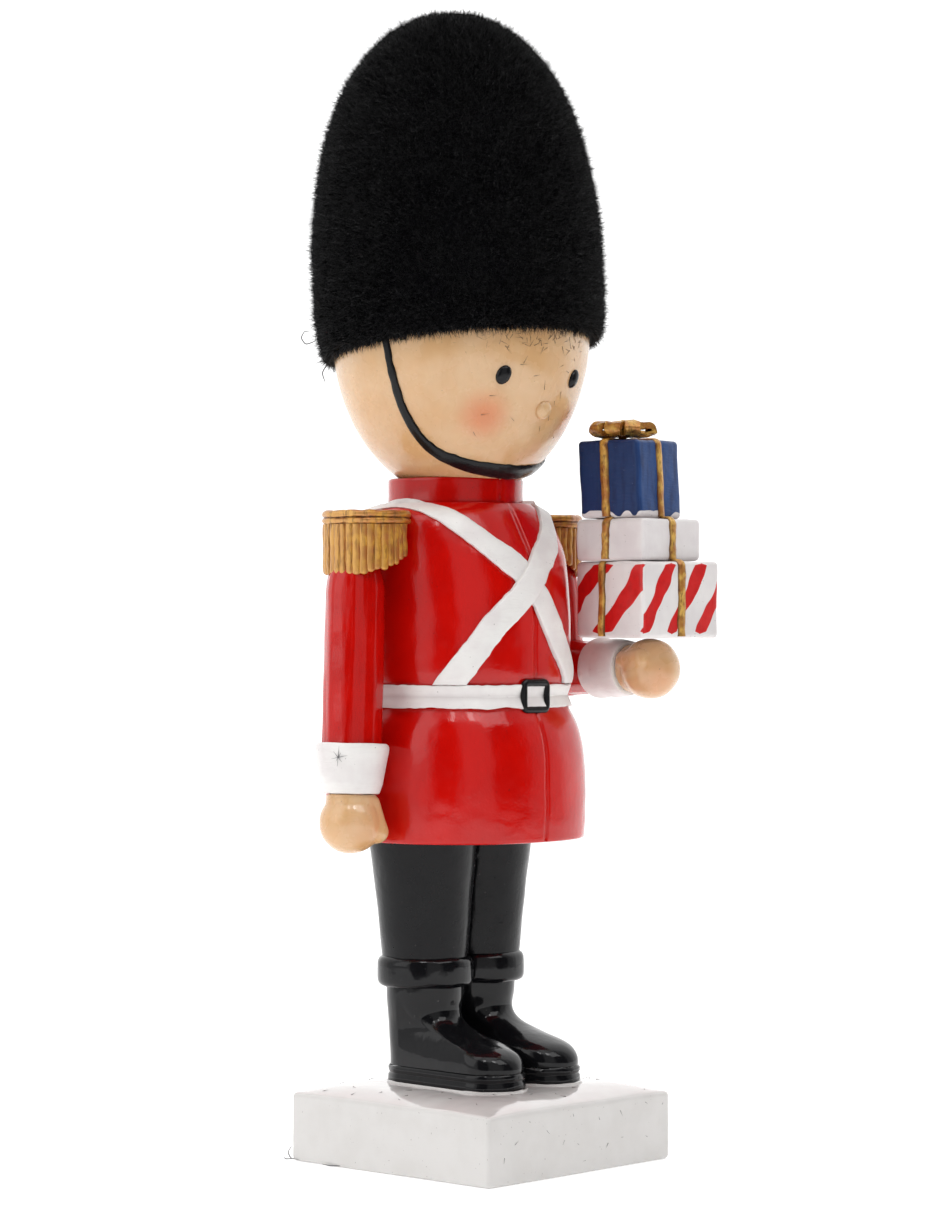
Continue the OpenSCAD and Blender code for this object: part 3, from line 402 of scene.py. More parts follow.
class Tree:
    """A tree of nodes, with short ways to add and join them."""

    def __init__(self, tree: NodeTree) -> None:
        """Takes the tree on which it works."""
        self.tree = tree

    def node(self, kind: str, inputs: dict[str | int, object] | None = None, **settings: object) -> Node:
        """Adds a node.

        Args:
            kind: The node's type.
            inputs: Plain values or linked sockets, by the input's name or number.
            settings: Its other settings.

        Returns:
            The node.
        """
        made = self.tree.nodes.new(kind)
        for key, value in settings.items():
            setattr(made, key, value)
        for key, value in (inputs or {}).items():
            self.join(value, made.inputs[key])
        return made

    def join(self, value: object, socket: NodeSocket) -> None:
        """Links a socket to another, or sets it to a plain value."""
        if isinstance(value, NodeSocket):
            self.tree.links.new(value, socket)
        elif socket.type == "RGBA" and not isinstance(value, (int, float)):
            socket.default_value = (*value, 1.0)
        else:
            socket.default_value = value

    def math(self, operation: str, a: object, b: object = 0.0) -> NodeSocket:
        """A sum on two values."""
        return self.node("ShaderNodeMath", {0: a, 1: b}, operation=operation).outputs[0]


class Board(Tree):
    """A material's nodes."""

    def __init__(self, name: str) -> None:
        """Starts a material with one surface shader."""
        self.material = bpy.data.materials.new(name)
        self.material.use_nodes = True
        super().__init__(self.material.node_tree)
        self.shader = self.tree.nodes["Principled BSDF"]
        self.place = self.node("ShaderNodeTexCoord").outputs["Object"]

    def noise(self, size: float, detail: float = 3.0, stretch: Row = (1, 1, 1)) -> NodeSocket:
        """Noise over the piece, by its breadth in millimetres, its octaves and finer axes."""
        mapping = self.node("ShaderNodeMapping", {
            "Vector": self.place, "Scale": stretch, "Location": (size * 0.37, size * 0.11, -size * 0.23)})
        return self.node("ShaderNodeTexNoise", {
            "Vector": mapping.outputs["Vector"], "Scale": 1000.0 / size, "Detail": detail}).outputs["Fac"]

    def part(self, vector: NodeSocket, axis: int) -> NodeSocket:
        """A vector's part along one axis."""
        return self.node("ShaderNodeSeparateXYZ", {0: vector}).outputs[axis]

    def facing(self, axis: int) -> NodeSocket:
        """How far the surface faces along an axis, -1 to 1."""
        return self.part(self.node("ShaderNodeNewGeometry").outputs["Normal"], axis)

    def attribute(self, name: str) -> NodeSocket:
        """The value of one of the mesh's attributes."""
        return self.node("ShaderNodeAttribute", attribute_name=name).outputs["Fac"]

    def span(self, value: object, low: float, high: float, to_low: float = 0.0,
             to_high: float = 1.0) -> NodeSocket:
        """A value spread from one range over another, smoothly and held at both ends."""
        return self.node("ShaderNodeMapRange", {
            "Value": value, "From Min": low, "From Max": high, "To Min": to_low,
            "To Max": to_high}, interpolation_type="SMOOTHSTEP").outputs["Result"]

    def mix(self, share: object, a: object, b: object) -> NodeSocket:
        """A colour between two, by a share."""
        return self.node("ShaderNodeMix", {0: share, 6: a, 7: b}, data_type="RGBA").outputs[2]

    def over(self, tone: object, colour: Colour, value: object, low: float, high: float,
             share: float = 1.0) -> NodeSocket:
        """A tone with at most a share of a colour over it, more where a value nears the high."""
        return self.mix(self.span(value, low, high, 0.0, share), tone, colour)

    def near(self, centre: Row, low: float, high: float) -> NodeSocket:
        """1 near a point in millimetres, falling to 0 between two distances from it."""
        away = self.node("ShaderNodeVectorMath", {0: self.place, 1: [c * MM for c in centre]},
                         operation="DISTANCE").outputs["Value"]
        return self.span(away, low * MM, high * MM, 1.0, 0.0)

    def bump(self, height: object, depth: float, under: object = None) -> NodeSocket:
        """A normal that shows a height, with its depth in millimetres, over another normal."""
        made = self.node("ShaderNodeBump", {"Distance": depth * MM, "Height": height})
        if under is not None:
            self.join(under, made.inputs["Normal"])
        return made.outputs["Normal"]

    def finish(self, colour: object, roughness: object, normal: object = None,
               **sockets: float) -> Material:
        """Sets the shader's sockets.

        Args:
            colour: Base colour, plain or linked.
            roughness: Roughness, plain or linked.
            normal: Linked normal, if any.
            sockets: Other sockets by name, with underscores for spaces.

        Returns:
            The material.
        """
        if normal is not None:
            sockets["Normal"] = normal
        for key, value in {"Base_Color": colour, "Roughness": roughness, **sockets}.items():
            self.join(value, self.shader.inputs[key.replace("_", " ")])
        return self.material


@dataclass(frozen=True)
class Enamel:
    """Glossy paint on a casting: soft brush waves, painted shade in the hollows, few dust specks."""

    name: str
    colour: Colour
    deep: Colour
    roughness: float = 0.13
    wave: float = 0.035
    streak: Row = (1.0, 1.0, 0.22)
    speck: Colour = (0.02, 0.01, 0.01)
    coat: float = 0.24
    shine: float = 0.27
    grain: float = 0.03

    def build(self) -> Material:
        """The paint as a material."""
        b = Board(self.name)
        brush = b.noise(1.1, 4.0, self.streak)
        cloud = b.noise(9.0, 2.0)
        tone = b.over(self.colour, self.deep, cloud, 0.35, 0.7, 0.3)
        tone = b.over(tone, self.deep, brush, 0.55, 0.75, 0.16)
        # Painted shade: the hollows take the deep colour.
        tone = b.over(tone, self.deep, b.attribute("hollow"), 0.1, 0.8, 0.75)
        specks = b.span(b.noise(0.42, 1.0), 0.755, 0.79)
        tone = b.mix(b.math("MULTIPLY", specks, b.span(cloud, 0.45, 0.6)), tone, self.speck)
        normal = b.bump(b.noise(5.0, 2.0), self.wave * 4)
        normal = b.bump(b.noise(0.5, 2.0), self.grain, b.bump(brush, self.wave, normal))
        rough = b.span(b.noise(2.4, 3.0), 0.3, 0.75, self.roughness, self.roughness + 0.08)
        return b.finish(tone, rough, normal, Coat_Weight=self.coat, Coat_Roughness=0.07,
                        Specular_IOR_Level=self.shine)


@dataclass(frozen=True)
class BrushedWhite:
    """White paint laid on by hand: faint brush marks, thin places, painted shade in the hollows, grey
    dust specks.
    """

    name: str
    colour: Colour
    thin: Colour
    roughness: float = 0.34
    streak: Row = (1.0, 1.0, 5.0)
    # The darker colour of the painted shade in the hollows.
    under: Colour = (0.42, 0.36, 0.35)
    dust: Colour = (0.25, 0.22, 0.22)

    def tone(self, b: Board) -> NodeSocket:
        """The paint's colour over the piece."""
        tone = b.over(self.colour, self.thin, b.noise(6.0, 3.0), 0.35, 0.7, 0.8)
        tone = b.over(tone, self.thin, b.noise(2.2, 5.0, self.streak), 0.5, 0.8, 0.35)
        # Painted shade: the hollows take the under colour.
        tone = b.over(tone, self.under, b.attribute("hollow"), 0.15, 0.9, 0.55)
        return b.over(tone, self.dust, b.noise(0.5, 1.0), 0.765, 0.79, 0.75)

    def relief(self, b: Board) -> NodeSocket:
        """The brush marks as a normal."""
        return b.bump(b.noise(2.2, 5.0, self.streak), 0.09, b.bump(b.noise(4.5, 2.0), 0.12))

    def build(self) -> Material:
        """The paint as a material."""
        b = Board(self.name)
        rough = b.span(b.noise(3.0, 3.0), 0.3, 0.7, self.roughness, self.roughness + 0.16)
        return b.finish(self.tone(b), rough, self.relief(b), Coat_Weight=0.12, Coat_Roughness=0.2)


@dataclass(frozen=True)
class BasePaint(BrushedWhite):
    """The white paint on the base: glossy on the top, whose colour is a painted reflection, darker and
    pinker than the sides.
    """

    # The top's two colours are a painted reflection of the figure in the glossy top.
    top: Colour = (0.62, 0.565, 0.555)
    top_pale: Colour = (0.66, 0.64, 0.625)

    def build(self) -> Material:
        """The paint as a material."""
        b = Board(self.name)
        # Painted reflection: faces that look up take the top's colours.
        up = b.span(b.facing(2), 0.55, 0.95)
        top = b.over(self.top, self.top_pale, b.noise(12.0, 2.0), 0.35, 0.7)
        normal = b.bump(b.noise(5.0, 1.0), 0.16, b.bump(b.noise(1.6, 3.0), 0.02))
        return b.finish(b.mix(up, self.tone(b), top), b.span(up, 0.0, 1.0, self.roughness, 0.12),
                        normal, Coat_Weight=b.span(up, 0.0, 1.0, 0.1, 0.6), Coat_Roughness=0.06)


@dataclass(frozen=True)
class StripedPaint(BrushedWhite):
    """The white paint with slanting red stripes, which follow the piece's own UV map."""

    stripe: Colour = (0.56, 0.006, 0.006)
    deep: Colour = (0.42, 0.003, 0.004)
    share: float = 0.42
    low_z: float = 0.9
    high_z: float = 14.7

    def build(self) -> Material:
        """The paint as a material."""
        b = Board(self.name)
        wrap = b.node("ShaderNodeUVMap", uv_map="wrap").outputs["UV"]
        sway = b.span(b.noise(6.0, 0.0), 0.25, 0.75, 0.45, 0.55)
        turn = b.math("FRACT", b.math("ADD", b.part(wrap, 0), sway))
        edge = b.math("ABSOLUTE", b.math("SUBTRACT", turn, 0.5))
        half = b.span(b.noise(3.6, 0.0), 0.25, 0.75, self.share * 0.42, self.share * 0.56)
        low = b.span(b.part(wrap, 1), self.low_z - 0.2, self.low_z + 0.5)
        high = b.span(b.part(wrap, 1), self.high_z + 0.3, self.high_z - 0.2)
        half = b.math("MULTIPLY", half, b.math("MULTIPLY", low, high))
        line = b.span(b.math("SUBTRACT", half, edge), 0.0, 0.012)
        red = b.over(self.stripe, self.deep, b.noise(1.4, 3.0), 0.4, 0.7, 0.5)
        return b.finish(b.mix(line, self.tone(b), red), self.roughness, self.relief(b),
                        Coat_Weight=0.2, Coat_Roughness=0.15)


@dataclass(frozen=True)
class BluePaint(BrushedWhite):
    """Blue paint over a white block: it stops short of the lower edge in a wavy line."""

    blue: Colour = (0.021, 0.058, 0.18)
    deep: Colour = (0.006, 0.014, 0.06)
    worn: Colour = (0.2, 0.27, 0.5)
    foot_z: float = 129.0

    def build(self) -> Material:
        """The paint as a material."""
        b = Board(self.name)
        sway = b.span(b.noise(3.4, 0.0), 0.3, 0.7, -0.5, 0.75)
        height = b.math("SUBTRACT", b.math("MULTIPLY", b.part(b.place, 2), 1000.0), sway)
        above = b.span(height, self.foot_z - 0.05, self.foot_z + 0.05)
        blue = b.over(self.blue, self.deep, b.noise(1.3, 4.0, (1.0, 1.0, 0.2)), 0.4, 0.72, 0.6)
        # Painted shade: the hollows are darker.
        blue = b.over(blue, self.deep, b.attribute("hollow"), 0.1, 0.8, 0.7)
        # Painted shade: the sides that face -X are darker.
        blue = b.over(blue, self.deep, b.facing(0), -0.2, -0.8, 0.55)
        blue = b.over(blue, self.worn, b.noise(0.5, 2.0), 0.74, 0.78, 0.35)
        return b.finish(b.mix(above, self.tone(b), blue), self.roughness, self.relief(b),
                        Specular_IOR_Level=0.22)


@dataclass(frozen=True)
class AntiqueGold:
    """Gold paint wiped with brown: bright on the ridges, dark in the grooves, grainy, with a painted
    highlight on the sides that face -X.
    """

    name: str
    gold: Colour = (0.36, 0.115, 0.011)
    pale: Colour = (0.6, 0.3, 0.04)
    dull: Colour = (0.5, 0.2, 0.06)
    # A painted highlight: this colour goes on the sides that face -X, by the share given two lines below.
    rubbed: Colour = (0.7, 0.39, 0.12)
    brown: Colour = (0.075, 0.022, 0.006)
    outer: float = 0.6
    streak: Row = (1.0, 1.0, 0.16)

    def build(self) -> Material:
        """The paint as a material."""
        b = Board(self.name)
        strands = b.noise(0.55, 4.0, self.streak)
        cloud = b.noise(2.2, 3.0)
        tone = b.over(self.gold, self.pale, cloud, 0.35, 0.68)
        tone = b.over(tone, self.dull, cloud, 0.55, 0.4, 0.35)
        # Painted highlight: lighter on the sides that face -X.
        tone = b.over(tone, self.rubbed, b.facing(0), -0.45, -0.95, self.outer)
        tone = b.over(tone, self.brown, strands, 0.5, 0.72, 0.62)
        tone = b.over(tone, self.brown, b.attribute("hollow"), 0.05, 0.42, 0.95)
        tone = b.over(tone, self.brown, b.attribute("rim"), 0.6, 0.98, 0.7)
        normal = b.bump(b.noise(0.3, 3.0), 0.05, b.bump(strands, 0.13))
        return b.finish(tone, b.span(cloud, 0.3, 0.7, 0.3, 0.48), normal, Metallic=0.42,
                        Coat_Weight=0.25, Coat_Roughness=0.14)


@dataclass(frozen=True)
class Skin:
    """Satin skin-coloured paint with faint brush tones, rosier round given points, and painted shade in
    the hollows.
    """

    name: str
    blushes: Table = ()
    colour: Colour = (0.63, 0.37, 0.172)
    pale: Colour = (0.66, 0.425, 0.232)
    rose: Colour = (0.62, 0.18, 0.055)
    brushed: Colour = (0.56, 0.31, 0.13)
    # The colour of the painted shade in the hollows.
    deep: Colour = (0.5, 0.26, 0.14)
    speck: Colour = (0.2, 0.1, 0.06)

    def build(self) -> Material:
        """The paint as a material."""
        b = Board(self.name)
        tone = b.over(self.colour, self.pale, b.noise(10.0, 3.0), 0.35, 0.68)
        tone = b.over(tone, self.brushed, b.noise(3.0, 4.0, (1.0, 1.0, 0.35)), 0.45, 0.8, 0.3)
        for x, y, z, low, high, share in self.blushes:
            spot = b.math("MULTIPLY", b.near((x, y, z), low, high), share)
            tone = b.mix(spot, tone, self.rose)
        # Painted shade: the hollows take the deep colour.
        tone = b.over(tone, self.deep, b.attribute("hollow"), 0.1, 0.9, 0.5)
        tone = b.over(tone, self.speck, b.noise(0.55, 1.0), 0.775, 0.8, 0.6)
        normal = b.bump(b.noise(1.4, 4.0, (1.0, 1.0, 0.4)), 0.03, b.bump(b.noise(7.0, 2.0), 0.16))
        return b.finish(tone, b.span(b.noise(4.0, 3.0), 0.3, 0.7, 0.2, 0.34), normal,
                        Coat_Weight=0.4, Coat_Roughness=0.1, Subsurface_Weight=0.04)


@dataclass(frozen=True)
class Flock:
    """Short fibres, almost black as a rule, with a dull sheen that differs from tuft to tuft."""

    name: str
    colour: Colour = (0.006, 0.006, 0.007)
    light: Colour = (0.022, 0.022, 0.024)
    roughness: float = 0.55

    def build(self) -> Material:
        """The fibres' material."""
        b = Board(self.name)
        tone = b.over(self.colour, self.light, b.noise(0.45, 1.0), 0.56, 0.8)
        tone = b.over(tone, self.colour, b.noise(14.0, 2.0), 0.45, 0.7, 0.5)
        rough = b.span(b.noise(6.0, 2.0), 0.3, 0.7, self.roughness, self.roughness + 0.2)
        return b.finish(tone, rough, b.bump(b.noise(0.25, 2.0), 0.08), Specular_IOR_Level=0.35)


class Paints:
    """Every finish of the figure, each built once."""

    red = Enamel("red enamel", (0.53, 0.003, 0.001), (0.36, 0.001, 0.001))
    sleeve_red = Enamel("red enamel on sleeves", (0.49, 0.003, 0.001), (0.29, 0.001, 0.001),
                        wave=0.06, streak=(1.0, 1.0, 0.06))
    black = Enamel("black enamel", (0.006, 0.006, 0.007), (0.002, 0.002, 0.003), roughness=0.06,
                   speck=(0.09, 0.085, 0.08), coat=0.0, shine=0.26, grain=0.004)
    trousers = Enamel("black enamel on trousers", (0.005, 0.005, 0.006), (0.002, 0.002, 0.003),
                      roughness=0.2, speck=(0.09, 0.085, 0.08), coat=0.0, shine=0.19)
    detail = Enamel("black paint", (0.008, 0.008, 0.009), (0.002, 0.002, 0.003), roughness=0.17,
                    speck=(0.06, 0.06, 0.06), coat=0.0, shine=0.22)
    base = BasePaint("off-white base paint", (0.63, 0.615, 0.6), (0.595, 0.578, 0.56), roughness=0.3)
    white = BrushedWhite("white belt paint", (0.79, 0.77, 0.75), (0.7, 0.655, 0.65))
    parcel = BrushedWhite("white parcel paint", (0.72, 0.685, 0.68), (0.64, 0.59, 0.595),
                          streak=(1.0, 1.0, 0.3))
    striped = StripedPaint("striped parcel paint", (0.75, 0.715, 0.705), (0.66, 0.625, 0.625),
                           streak=(1.0, 1.0, 0.3))
    blue = BluePaint("blue parcel paint", (0.72, 0.685, 0.68), (0.64, 0.59, 0.595))
    gold = AntiqueGold("antique gold")
    ribbon = AntiqueGold("ribbon gold", gold=(0.36, 0.14, 0.014), pale=(0.7, 0.42, 0.09),
                         streak=(1.0, 1.0, 0.4), outer=0.0)
    hand = Skin("skin paint on hands", (
        (-31.5, 3.0, 68.0, 1.0, 6.0, 0.35), (24.0, -27.0, 95.0, 1.0, 6.0, 0.35)))
    flock = Flock("black flock", colour=(0.002, 0.002, 0.0025), light=(0.035, 0.035, 0.038),
                  roughness=0.34)
    pelt = Flock("flock's ground", roughness=0.8)
    lint = Flock("grey lint", colour=(0.12, 0.12, 0.125), light=(0.24, 0.24, 0.25))
    wild = Flock("glinting flock", colour=(0.002, 0.002, 0.0025), light=(0.11, 0.11, 0.115))
    fibre = Flock("grey fibres", colour=(0.1, 0.1, 0.105), light=(0.25, 0.25, 0.26))
    stray = Flock("stray fibres", colour=(0.03, 0.022, 0.018), light=(0.12, 0.08, 0.05))

    _made: dict[str, Material] = {}

    @classmethod
    def of(cls, finish: object) -> Material:
        """The material of a finish."""
        if finish.name not in cls._made:
            cls._made[finish.name] = finish.build()
        return cls._made[finish.name]


def dress(mesh: Mesh, name: str, finish: object, nodes: tuple[str, ...] = ()) -> Object:
    """Puts a mesh in the scene as a finished piece.

    Args:
        mesh: The piece's mesh, in metres and in place.
        name: The piece's name.
        finish: The paint or fibre it is finished with.
        nodes: The CAD nodes that it stands for.

    Returns:
        The piece.
    """
    piece = put(name, mesh)
    mesh.materials.clear()
    mesh.materials.append(Paints.of(finish))
    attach(piece, "root")
    if nodes:
        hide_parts(*nodes)
    log.info("%s: %d faces", name, len(mesh.polygons))
    return piece


def cast(shape: Shape, kind: str, finish: object, tag: str = "",
         crease: float = 38.0) -> Object:
    """Dresses a shape as the piece that stands for the CAD node of its kind and side."""
    end = tag and "_" + tag
    return dress(shape.mesh(kind, crease), f"{kind}_piece{end}", finish, (kind + end,))


class Grower(Tree):
    """Geometry Nodes that stand copies of one thing on points and make them real."""

    def __init__(self, name: str, kinds: dict[str, str]) -> None:
        """Starts the tree with its named inputs.

        Args:
            name: The tree's name.
            kinds: The kind of each input, by its name.
        """
        super().__init__(bpy.data.node_groups.new(name, "GeometryNodeTree"))
        face = self.tree.interface
        self.inputs = {key: face.new_socket(name=key, in_out="INPUT",
                                            socket_type="NodeSocket" + kind).identifier
                       for key, kind in kinds.items()}
        face.new_socket(name="Made", in_out="OUTPUT", socket_type="NodeSocketGeometry")
        self.source = self.node("NodeGroupInput").outputs

    def stand(self, points: object, thing: object, turn: object, size: object) -> None:
        """Stands copies of a thing on points, makes them real and paints them.

        Args:
            points: Linked points.
            thing: Linked geometry of one copy.
            turn: Linked rotation of each.
            size: Linked size of each.
        """
        copies = self.node("GeometryNodeInstanceOnPoints", {
            "Points": points, "Instance": thing, "Rotation": turn, "Scale": size})
        real = self.node("GeometryNodeRealizeInstances", {0: copies.outputs[0]})
        paint = self.node("GeometryNodeSetMaterial", {
            "Geometry": real.outputs[0], "Material": self.source["Material"]})
        self.node("NodeGroupOutput", {0: paint.outputs[0]})

    def run(self, name: str, ground: Mesh, values: dict[str, object]) -> Mesh:
        """Runs the tree on a mesh.

        Args:
            name: Name of the result.
            ground: The mesh that gives the points.
            values: What its other inputs are set to, by name.

        Returns:
            What it makes, as a plain mesh.
        """
        holder = put(name + " ground", ground)
        modifier = holder.modifiers.new(name, "NODES")
        modifier.node_group = self.tree
        for key, value in values.items():
            modifier[self.inputs[key]] = value
        made = take(holder)
        made.name = name
        bpy.data.meshes.remove(ground)
        return made


@dataclass(frozen=True)
class Coat:
    """How fibres stand on a surface: lengths and radius in millimetres, leans in degrees."""

    finish: Flock
    count: int
    length: tuple[float, float]
    lean: tuple[float, float]
    radius: float


class Fibres(Grower):
    """Thin fibres on a surface, leaning at random."""

    def __init__(self) -> None:
        """Builds the tree."""
        super().__init__("fibres on a surface", {
            "Surface": "Geometry", "Density": "Float", "Least length": "Float",
            "Most length": "Float", "Radius": "Float", "Least lean": "Float",
            "Most lean": "Float", "Seed": "Int", "Material": "Material"})
        source = self.source
        spread = self.node("GeometryNodeDistributePointsOnFaces", {
            "Mesh": source["Surface"], "Density": source["Density"], "Seed": source["Seed"]})
        hair = self.node("GeometryNodeMeshCone", {
            "Vertices": 3, "Radius Top": 0.0, "Radius Bottom": 1.0, "Depth": 1.0}, fill_type="NGON")
        lean = self._random(source["Least lean"], source["Most lean"], 11)
        heading = spread.outputs["Rotation"]
        for angles in ({2: self._random(0.0, tau, 23)}, {0: lean}):
            euler = self.node("FunctionNodeEulerToRotation", {
                0: self.node("ShaderNodeCombineXYZ", angles).outputs[0]})
            heading = self.node("FunctionNodeRotateRotation", {0: heading, 1: euler.outputs[0]},
                                rotation_space="LOCAL").outputs[0]
        size = self.node("ShaderNodeCombineXYZ", {
            0: source["Radius"], 1: source["Radius"],
            2: self._random(source["Least length"], source["Most length"], 37)})
        self.stand(spread.outputs["Points"], hair.outputs["Mesh"], heading, size.outputs[0])

    def _random(self, low: object, high: object, step: int) -> NodeSocket:
        """A random value for each point, between two, with its own step from the seed."""
        seed = self.math("ADD", self.source["Seed"], step)
        return self.node("FunctionNodeRandomValue", {2: low, 3: high, "Seed": seed},
                         data_type="FLOAT").outputs[1]

    def grow(self, surface: Shape, name: str, coat: Coat, seed: int) -> Object:
        """Grows fibres on a surface and keeps them as one plain piece.

        Args:
            surface: The surface they stand on, its faces outwards.
            name: Name of the piece.
            coat: How they stand.
            seed: Seed of everything random.

        Returns:
            The finished piece.
        """
        ground = surface.bare(name)
        area = sum(p.area for p in ground.polygons)
        mesh = self.run(name, ground, {
            "Density": coat.count / area, "Least length": coat.length[0] * MM,
            "Most length": coat.length[1] * MM, "Radius": coat.radius * MM,
            "Least lean": radians(coat.lean[0]), "Most lean": radians(coat.lean[1]),
            "Seed": seed, "Material": Paints.of(coat.finish)})
        return dress(mesh, name, coat.finish)


class Strands(Grower):
    """One strand at every point of an arc, each with its own size."""

    def __init__(self) -> None:
        """Builds the tree."""
        super().__init__("strands on an arc", {
            "Places": "Geometry", "Strand": "Object", "Material": "Material"})
        info = self.node("GeometryNodeObjectInfo", {"Object": self.source["Strand"]})
        heading, size = (self.node("GeometryNodeInputNamedAttribute", {"Name": name},
                                   data_type="FLOAT_VECTOR").outputs["Attribute"]
                         for name in ("heading", "size"))
        turn = self.node("FunctionNodeEulerToRotation", {0: heading})
        self.stand(self.source["Places"], info.outputs["Geometry"], turn.outputs[0], size)

    def hang(self, strand: Shape, places: list[Row], finish: object) -> Mesh:
        """Hangs copies of a strand and joins them into one mesh.

        Args:
            strand: One strand, hanging from the origin, its outside towards +X.
            places: Rows of x, y, z, heading in degrees, width share, depth share, length share.
            finish: The strands' finish.

        Returns:
            The mesh of all the strands.
        """
        model = bpy.data.objects.new("strand", strand.mesh("strand", crease=60))
        spots = Shape(np.array([row[:3] for row in places]), []).bare("places")
        for key, values in (("heading", [(0.0, 0.0, radians(row[3])) for row in places]),
                            ("size", [(row[5], row[4], row[6]) for row in places])):
            spots.attributes.new(key, "FLOAT_VECTOR", "POINT").data.foreach_set(
                "vector", np.array(values).ravel())
        mesh = self.run("strands", spots, {"Strand": model, "Material": Paints.of(finish)})
        bpy.data.objects.remove(model)
        return mesh


@dataclass(frozen=True)
class Lamp:
    """A soft rectangular light, by its direction from the figure as the camera sees it."""

    name: str
    azimuth: float
    elevation: float
    distance: float
    width: float
    height: float
    power: float


@dataclass
class Photographer:
    """The floor, the surround, the lights and the camera.

    A band of the surround is an angle from the camera's side in degrees and a brightness.
    """

    azimuth: float = 47.1
    distance: float = 729.0
    aside: float = -2.2
    height: float = 110.4
    lens: float = 108.0
    aim: float = 0.12
    floor_r: float = 0.62
    surround: float = 1.3
    lamps: tuple[Lamp, ...] = (
        Lamp("left softbox", -62.0, 26.0, 1.1, 0.7, 0.9, 2.1),
        Lamp("right softbox", 58.0, 50.0, 1.2, 0.6, 0.6, 3.4),
        Lamp("top softbox", -20.0, 78.0, 1.2, 1.0, 1.0, 4.6),
        Lamp("left window", -8.0, 55.0, 1.1, 0.1, 0.22, 0.7),
        Lamp("right window", 30.0, 55.0, 1.1, 0.1, 0.22, 0.7))
    bands: Table = ((-180, 1.0), (-112, 1.0), (-92, 0.66), (-38, 0.64), (-31, 0.03), (-3, 0.02),
                    (4, 0.43), (41, 0.43), (49, 0.02), (81, 0.02), (88, 0.38), (102, 0.46),
                    (118, 1.0), (180, 1.0))

    def build(self) -> None:
        """Sets up the studio."""
        scene = bpy.context.scene
        scene.view_settings.view_transform = "Standard"
        a = radians(self.azimuth)
        ahead = Vector((sin(a), cos(a), 0.0))
        right = Vector((cos(a), -sin(a), 0.0))
        self._floor()
        self._world(ahead, right)
        data = bpy.data.cameras.new("camera")
        data.lens, data.sensor_width, data.sensor_height = self.lens, 36.0, 36.0
        data.clip_start, data.clip_end = 0.05, 20.0
        camera = put("camera", data)
        eye = right * self.aside - ahead * self.distance + Vector((0, 0, self.height))
        camera.location = eye * MM
        camera.rotation_euler = (radians(90), 0.0, -a)
        scene.camera = camera
        for lamp in self.lamps:
            light = bpy.data.lights.new(lamp.name, "AREA")
            light.shape, light.size, light.size_y = "RECTANGLE", lamp.width, lamp.height
            light.energy = lamp.power
            turn, lift = radians(lamp.azimuth), radians(lamp.elevation)
            way = (right * sin(turn) - ahead * cos(turn)) * cos(lift)
            way += Vector((0, 0, sin(lift)))
            holder = put(lamp.name, light)
            holder.location = Vector((0, 0, self.aim)) + way * lamp.distance
            holder.rotation_euler = (-way).to_track_quat("-Z", "Y").to_euler()

    def _floor(self) -> None:
        """A plain pale floor, which ends in the white surround."""
        mesh = bpy.data.meshes.new("floor")
        mesh.from_pydata([(self.floor_r * cos(t), self.floor_r * sin(t), 0.0)
                          for t in turns(96)], [], [tuple(range(96))])
        b = Board("pale floor")
        tone = b.mix(b.noise(60.0, 2.0), (0.93, 0.93, 0.93), (0.95, 0.95, 0.95))
        mesh.materials.append(b.finish(tone, 0.85, Emission_Color=(1.0, 1.0, 1.0), Emission_Strength=0.3))
        put("floor", mesh)

    def _world(self, ahead: Vector, right: Vector) -> None:
        """White walls behind the figure and grey ones on the camera's side, with two dark gaps.

        Args:
            ahead: The camera's horizontal direction.
            right: Its right-hand direction.
        """
        world = bpy.data.worlds.new("surround")
        world.use_nodes = True
        tree = Tree(world.node_tree)
        place = tree.node("ShaderNodeTexCoord").outputs["Generated"]
        turn = tree.math("ARCTAN2", *(
            tree.node("ShaderNodeVectorMath", {0: place, 1: axis},
                      operation="DOT_PRODUCT").outputs["Value"] for axis in (right, -ahead)))
        share = tree.node("ShaderNodeMapRange", {"Value": turn, "From Min": -pi, "From Max": pi})
        ramp = tree.node("ShaderNodeValToRGB", {"Fac": share.outputs["Result"]})
        stops = ramp.color_ramp.elements
        for angle, level in self.bands:
            at = (angle + 180) / 360
            stop = stops[0] if at == 0 else stops[-1] if at == 1 else stops.new(at)
            stop.color = (level, level, level, 1.0)
        back = world.node_tree.nodes["Background"]
        tree.join(ramp.outputs["Color"], back.inputs["Color"])
        tree.join(self.surround, back.inputs["Strength"])
        bpy.context.scene.world = world


